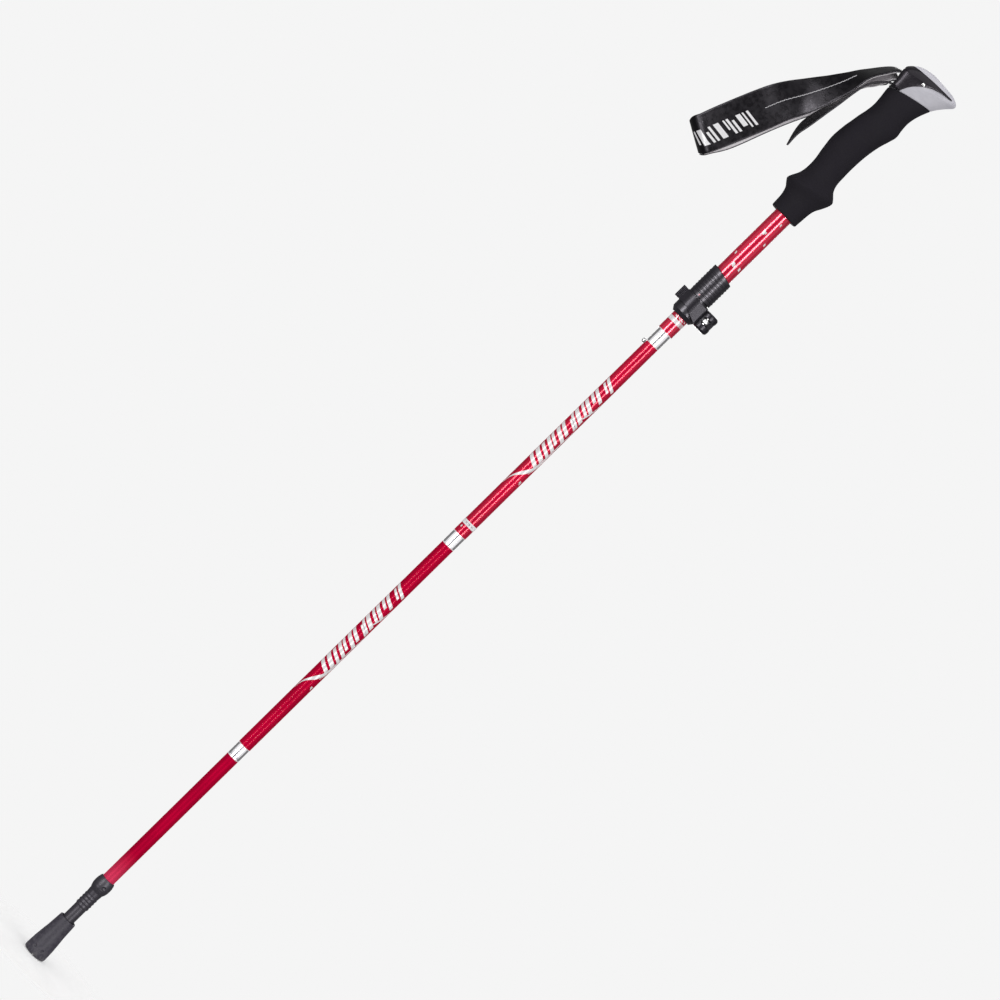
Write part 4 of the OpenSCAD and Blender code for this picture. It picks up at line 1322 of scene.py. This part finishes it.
def add_strap():
    tape, front_end, back_start = strap_tape()
    black = woven("webbing", (0.0014, 0.0012, 0.0018), (0.0034, 0.0029, 0.0044), 1.3, 0.9, 0.014, 0.30, 0.01)
    loop = tape.mesh("strap_loop_looks", WEBBING)
    hung(loop, black, "strap_loop", tape, "strap_pin_looks")

    first, last = 46, back_start + 200  # the rows inside the head have no lining
    blank = np.zeros(last - first)
    soft = Tape(np.column_stack([blank, tape.centre[first:last], tape.width[first:last] - 1.6, blank]))
    soft.side, soft.out, soft.phase = tape.side[first:last], tape.out[first:last], tape.along[first]
    fold_at = soft.along[front_end - first]

    def beyond(along):
        """The lining shows past the webbing's lower edge towards the far fold and near the head."""
        near = min(1.0, max(0.0, 1 - abs(along - (fold_at - 25)) / 45))
        top = min(1.0, max(0.0, 1 - abs(along - (soft.along[-1] - 22)) / 20))
        return (0.0, 2.6 * near * near * (3 - 2 * near) + 3.2 * top * top * (3 - 2 * top))

    lining = soft.mesh("strap_lining_looks", 0.8, -(WEBBING + 0.8) / 2 - 0.05, grow=beyond)
    hung(lining, knit_material(), "strap_lining", soft, loop.name)

    tail = Tape(sampled(TAIL, np.arange(0, 9.01, 0.08)))
    tail.sag = 0.1
    end = tail.mesh("strap_tail_looks", WEBBING, columns=14)
    hung(end, black, "strap_tail", tail, "strap_pin_looks")

    thread = thread_material()
    begin, finish = tape.nearest(-80, 996), tape.nearest(-41, 1073)
    lines = []
    low_end, high_end = min(begin, finish), max(begin, finish)
    for i, s in enumerate(np.arange(low_end, high_end, 1.9)):
        share = (s - low_end) / (high_end - low_end)
        a = 1.5 * (1 - share)
        way = 0.3 if i % 2 else -0.3
        lift = WEBBING / 2
        route = ((s, a - way, lift), (s + 0.9, a, lift + 0.5), (s + 1.75, a + way, lift))
        lines.append(tuple(tape.at(*stop) for stop in route))
    fit(beads("strap_stitches", lines, 0.3), "strap", "lining", thread)

    def on_strap(u, v, off):
        return tape.at(v, u, WEBBING / 2 + off)

    start = tape.nearest(-84, 985)
    strokes = (
        (0, 2.2, -11, 4), (4.6, 1.6, -11, 4), (8.6, 4.4, -8, 4), (15.4, 2.2, -11, 1),
        (19.4, 2.2, -11, 4), (24.4, 1.6, -6, 4), (28.4, 5.0, -11, 4), (36.4, 2.2, -11, 4),
        (40.4, 2.2, -11, 0), (45.0, 4.6, -11, 4), (52.4, 2.0, -9, 4),
    )
    bars = []
    for offset, length, low_side, high_side in strokes:
        v0, v1, lean_by = start + offset, start + offset + length, 0.28 * (high_side - low_side)
        bars.append([(low_side, v0), (low_side, v1), (high_side, v1 + lean_by), (high_side, v0 + lean_by)])
    marks = printed("strap_print", bars, on_strap, 1.5, 1.5)
    fit(marks, "strap", "white_plastic", ink("strap_ink", (0.80, 0.79, 0.81), chip=0.0))


# ---- prints on the tubes ----


def on_tube(r):
    def place(u, v, off):
        return ((r + off) * math.sin(u / r), -(r + off) * math.cos(u / r), v)

    return place


def tube_print(name, shapes, body, r, material, slot="white_plastic", step=0.6, thick=0.05):
    uncut = 400  # longer than any print, since a tube is straight along its length
    return fit(printed(name, shapes, on_tube(r), step, uncut, thick), body, slot, material)


def slab(u0, u1, v0, v1, slant):
    return [(u0, v0), (u0, v1), (u1, v1 - slant), (u1, v0 - slant)]


def swoosh(points):
    """A tapering stroke through (across, along, width) points."""
    table = [(i, *p) for i, p in enumerate(points)]
    rows = sampled(table, np.linspace(0, len(points) - 1, 8 * len(points)))
    left, right = [], []
    for before, row, after in zip(rows[[0, *range(len(rows) - 1)]], rows, rows[[*range(1, len(rows)), -1]]):
        ahead = after[1:3] - before[1:3]
        normal = np.array([-ahead[1], ahead[0]]) / np.linalg.norm(ahead)
        width = max(row[3], 0.12) / 2
        left.append(tuple(row[1:3] + width * normal))
        right.append(tuple(row[1:3] - width * normal))
    return left + right[::-1]


def add_prints():
    white = ink("tube_ink", (0.84, 0.82, 0.83))
    places = (("print_3", "section_3", TUBE_3_R, 731.5), ("print_4", "section_4", TUBE_4_R, 470.0))
    for name, body, r, top in places:
        bars = []
        v = top
        for length, gap, u0, u1 in (
            (3.4, 2.6, -8.6, 6.4), (2.6, 5.2, -7.0, 3.0), (3.8, 2.0, -8.8, 5.6), (3.4, 3.4, -8.8, 1.0),
            (4.2, 1.6, -8.2, 7.2), (3.2, 3.0, -8.6, 4.2), (4.6, 1.8, -8.8, 6.0), (3.0, 1.6, -8.8, 6.6),
            (3.0, 3.2, -4.0, 6.8), (3.8, 2.2, -8.8, 4.8), (4.4, 3.2, -8.6, 7.0), (3.2, 1.6, -8.8, 3.4),
            (4.0, 3.6, -8.8, 6.2), (3.6, 2.0, -7.4, 6.6), (5.0, 3.0, -8.8, 5.4), (4.2, 2.2, -8.6, 4.4),
        ):
            bars.append(slab(u0, u1, v - length, v, 0.48 * (u1 - u0)))
            v -= length + gap
        strokes = [
            swoosh([(9.0, top - 22, 0.3), (7.2, top - 32, 1.0), (4.6, top - 41, 1.5), (2.6, top - 46, 0.4)]),
            swoosh([
                (9.0, top - 54, 0.3), (7.4, top - 72, 1.0), (6.9, top - 92, 1.3), (5.4, top - 105, 2.4),
                (1.6, top - 113, 3.4), (-2.6, top - 119, 2.2), (-6.0, top - 125, 1.1),
                (-8.4, top - 134, 0.2),
            ]),
            swoosh([
                (9.4, top - 78, 0.2), (8.2, top - 92, 0.8), (7.4, top - 104, 0.9), (5.0, top - 113, 0.3),
            ]),
            slab(4.6, 5.6, top - 124, top - 121.6, 0.5),
            slab(6.0, 6.8, top - 125.4, top - 121.8, 0.4),
        ]
        tube_print(name, bars, body, r, white)
        tube_print(name + "_lines", strokes, body, r, white, thick=0.07)

    small = [
        (4.0, 5.4, 932, 934.4, 0.6), (-3.2, -0.6, 917, 921, 1.4), (-0.2, 0.5, 917.6, 920.2, 0.5),
        (6.6, 8.4, 909.6, 912.2, 0.8), (-8.4, -6.6, 887.4, 890, 0.7), (-2.2, 0.6, 878, 881.6, 1.0),
        (1.0, 2.2, 877.4, 879.8, 0.6), (6.2, 8.6, 878.2, 881.4, 0.9),
    ]
    tube_print("upper_marks", [slab(*row) for row in small], "handle", UPPER_R, white)

    band = [
        (-11.5, 5.4, 805.3, 809.6, 0.0), (5.9, 6.6, 805.3, 809.6, 0.0), (7.2, 8.2, 805.3, 809.6, 0.0),
        (8.8, 10.6, 805.3, 809.6, 0.0), (-4.6, -1.8, 811.2, 812.6, 1.0), (-1.0, 1.2, 811.6, 812.8, 0.8),
        (2.4, 4.8, 811.0, 812.4, 1.0), (6.0, 8.0, 811.6, 812.8, 0.8),
    ]
    tube_print("height_marks", [slab(*row) for row in band], "inner", INNER_R, white, thick=0.03)

    grey = ink("grey_ink", (0.22, 0.21, 0.23), chip=0.0)
    spans = ((-4.2, 0.5), (-3.2, 1.1), (-1.4, 0.4), (-0.4, 1.2), (1.5, 0.5), (2.6, 1.0), (4.2, 0.4))
    ticks = [slab(u, u + w, 549.2, 550.9, 0.3) for u, w in spans]
    tube_print("ring_marks", ticks, "section_3", TUBE_3_R + 0.29, grey, step=0.5)
    tube_print("joint_mark", [slab(-5.6, -4.2, 543.6, 545.8, 0.3)], "section_3", TUBE_3_R, white, step=0.5)
    red = ink("red_ink", (0.45, 0.01, 0.03), chip=0.0)
    round_it = np.linspace(0, 2 * math.pi, 25)[:-1]
    dot = [(-2.6 + 0.75 * math.cos(a), 838.7 + 0.75 * math.sin(a)) for a in round_it]
    tube_print("lock_dot", [dot], "handle", SLEEVE_R - 0.02, red, "red_tube", 0.5, 0.07)


add_camera()
add_studio()
add_cords()
add_tubes()
add_ferrules()
add_tip()
add_lock()
add_foam()
add_head()
add_strap()
add_prints()
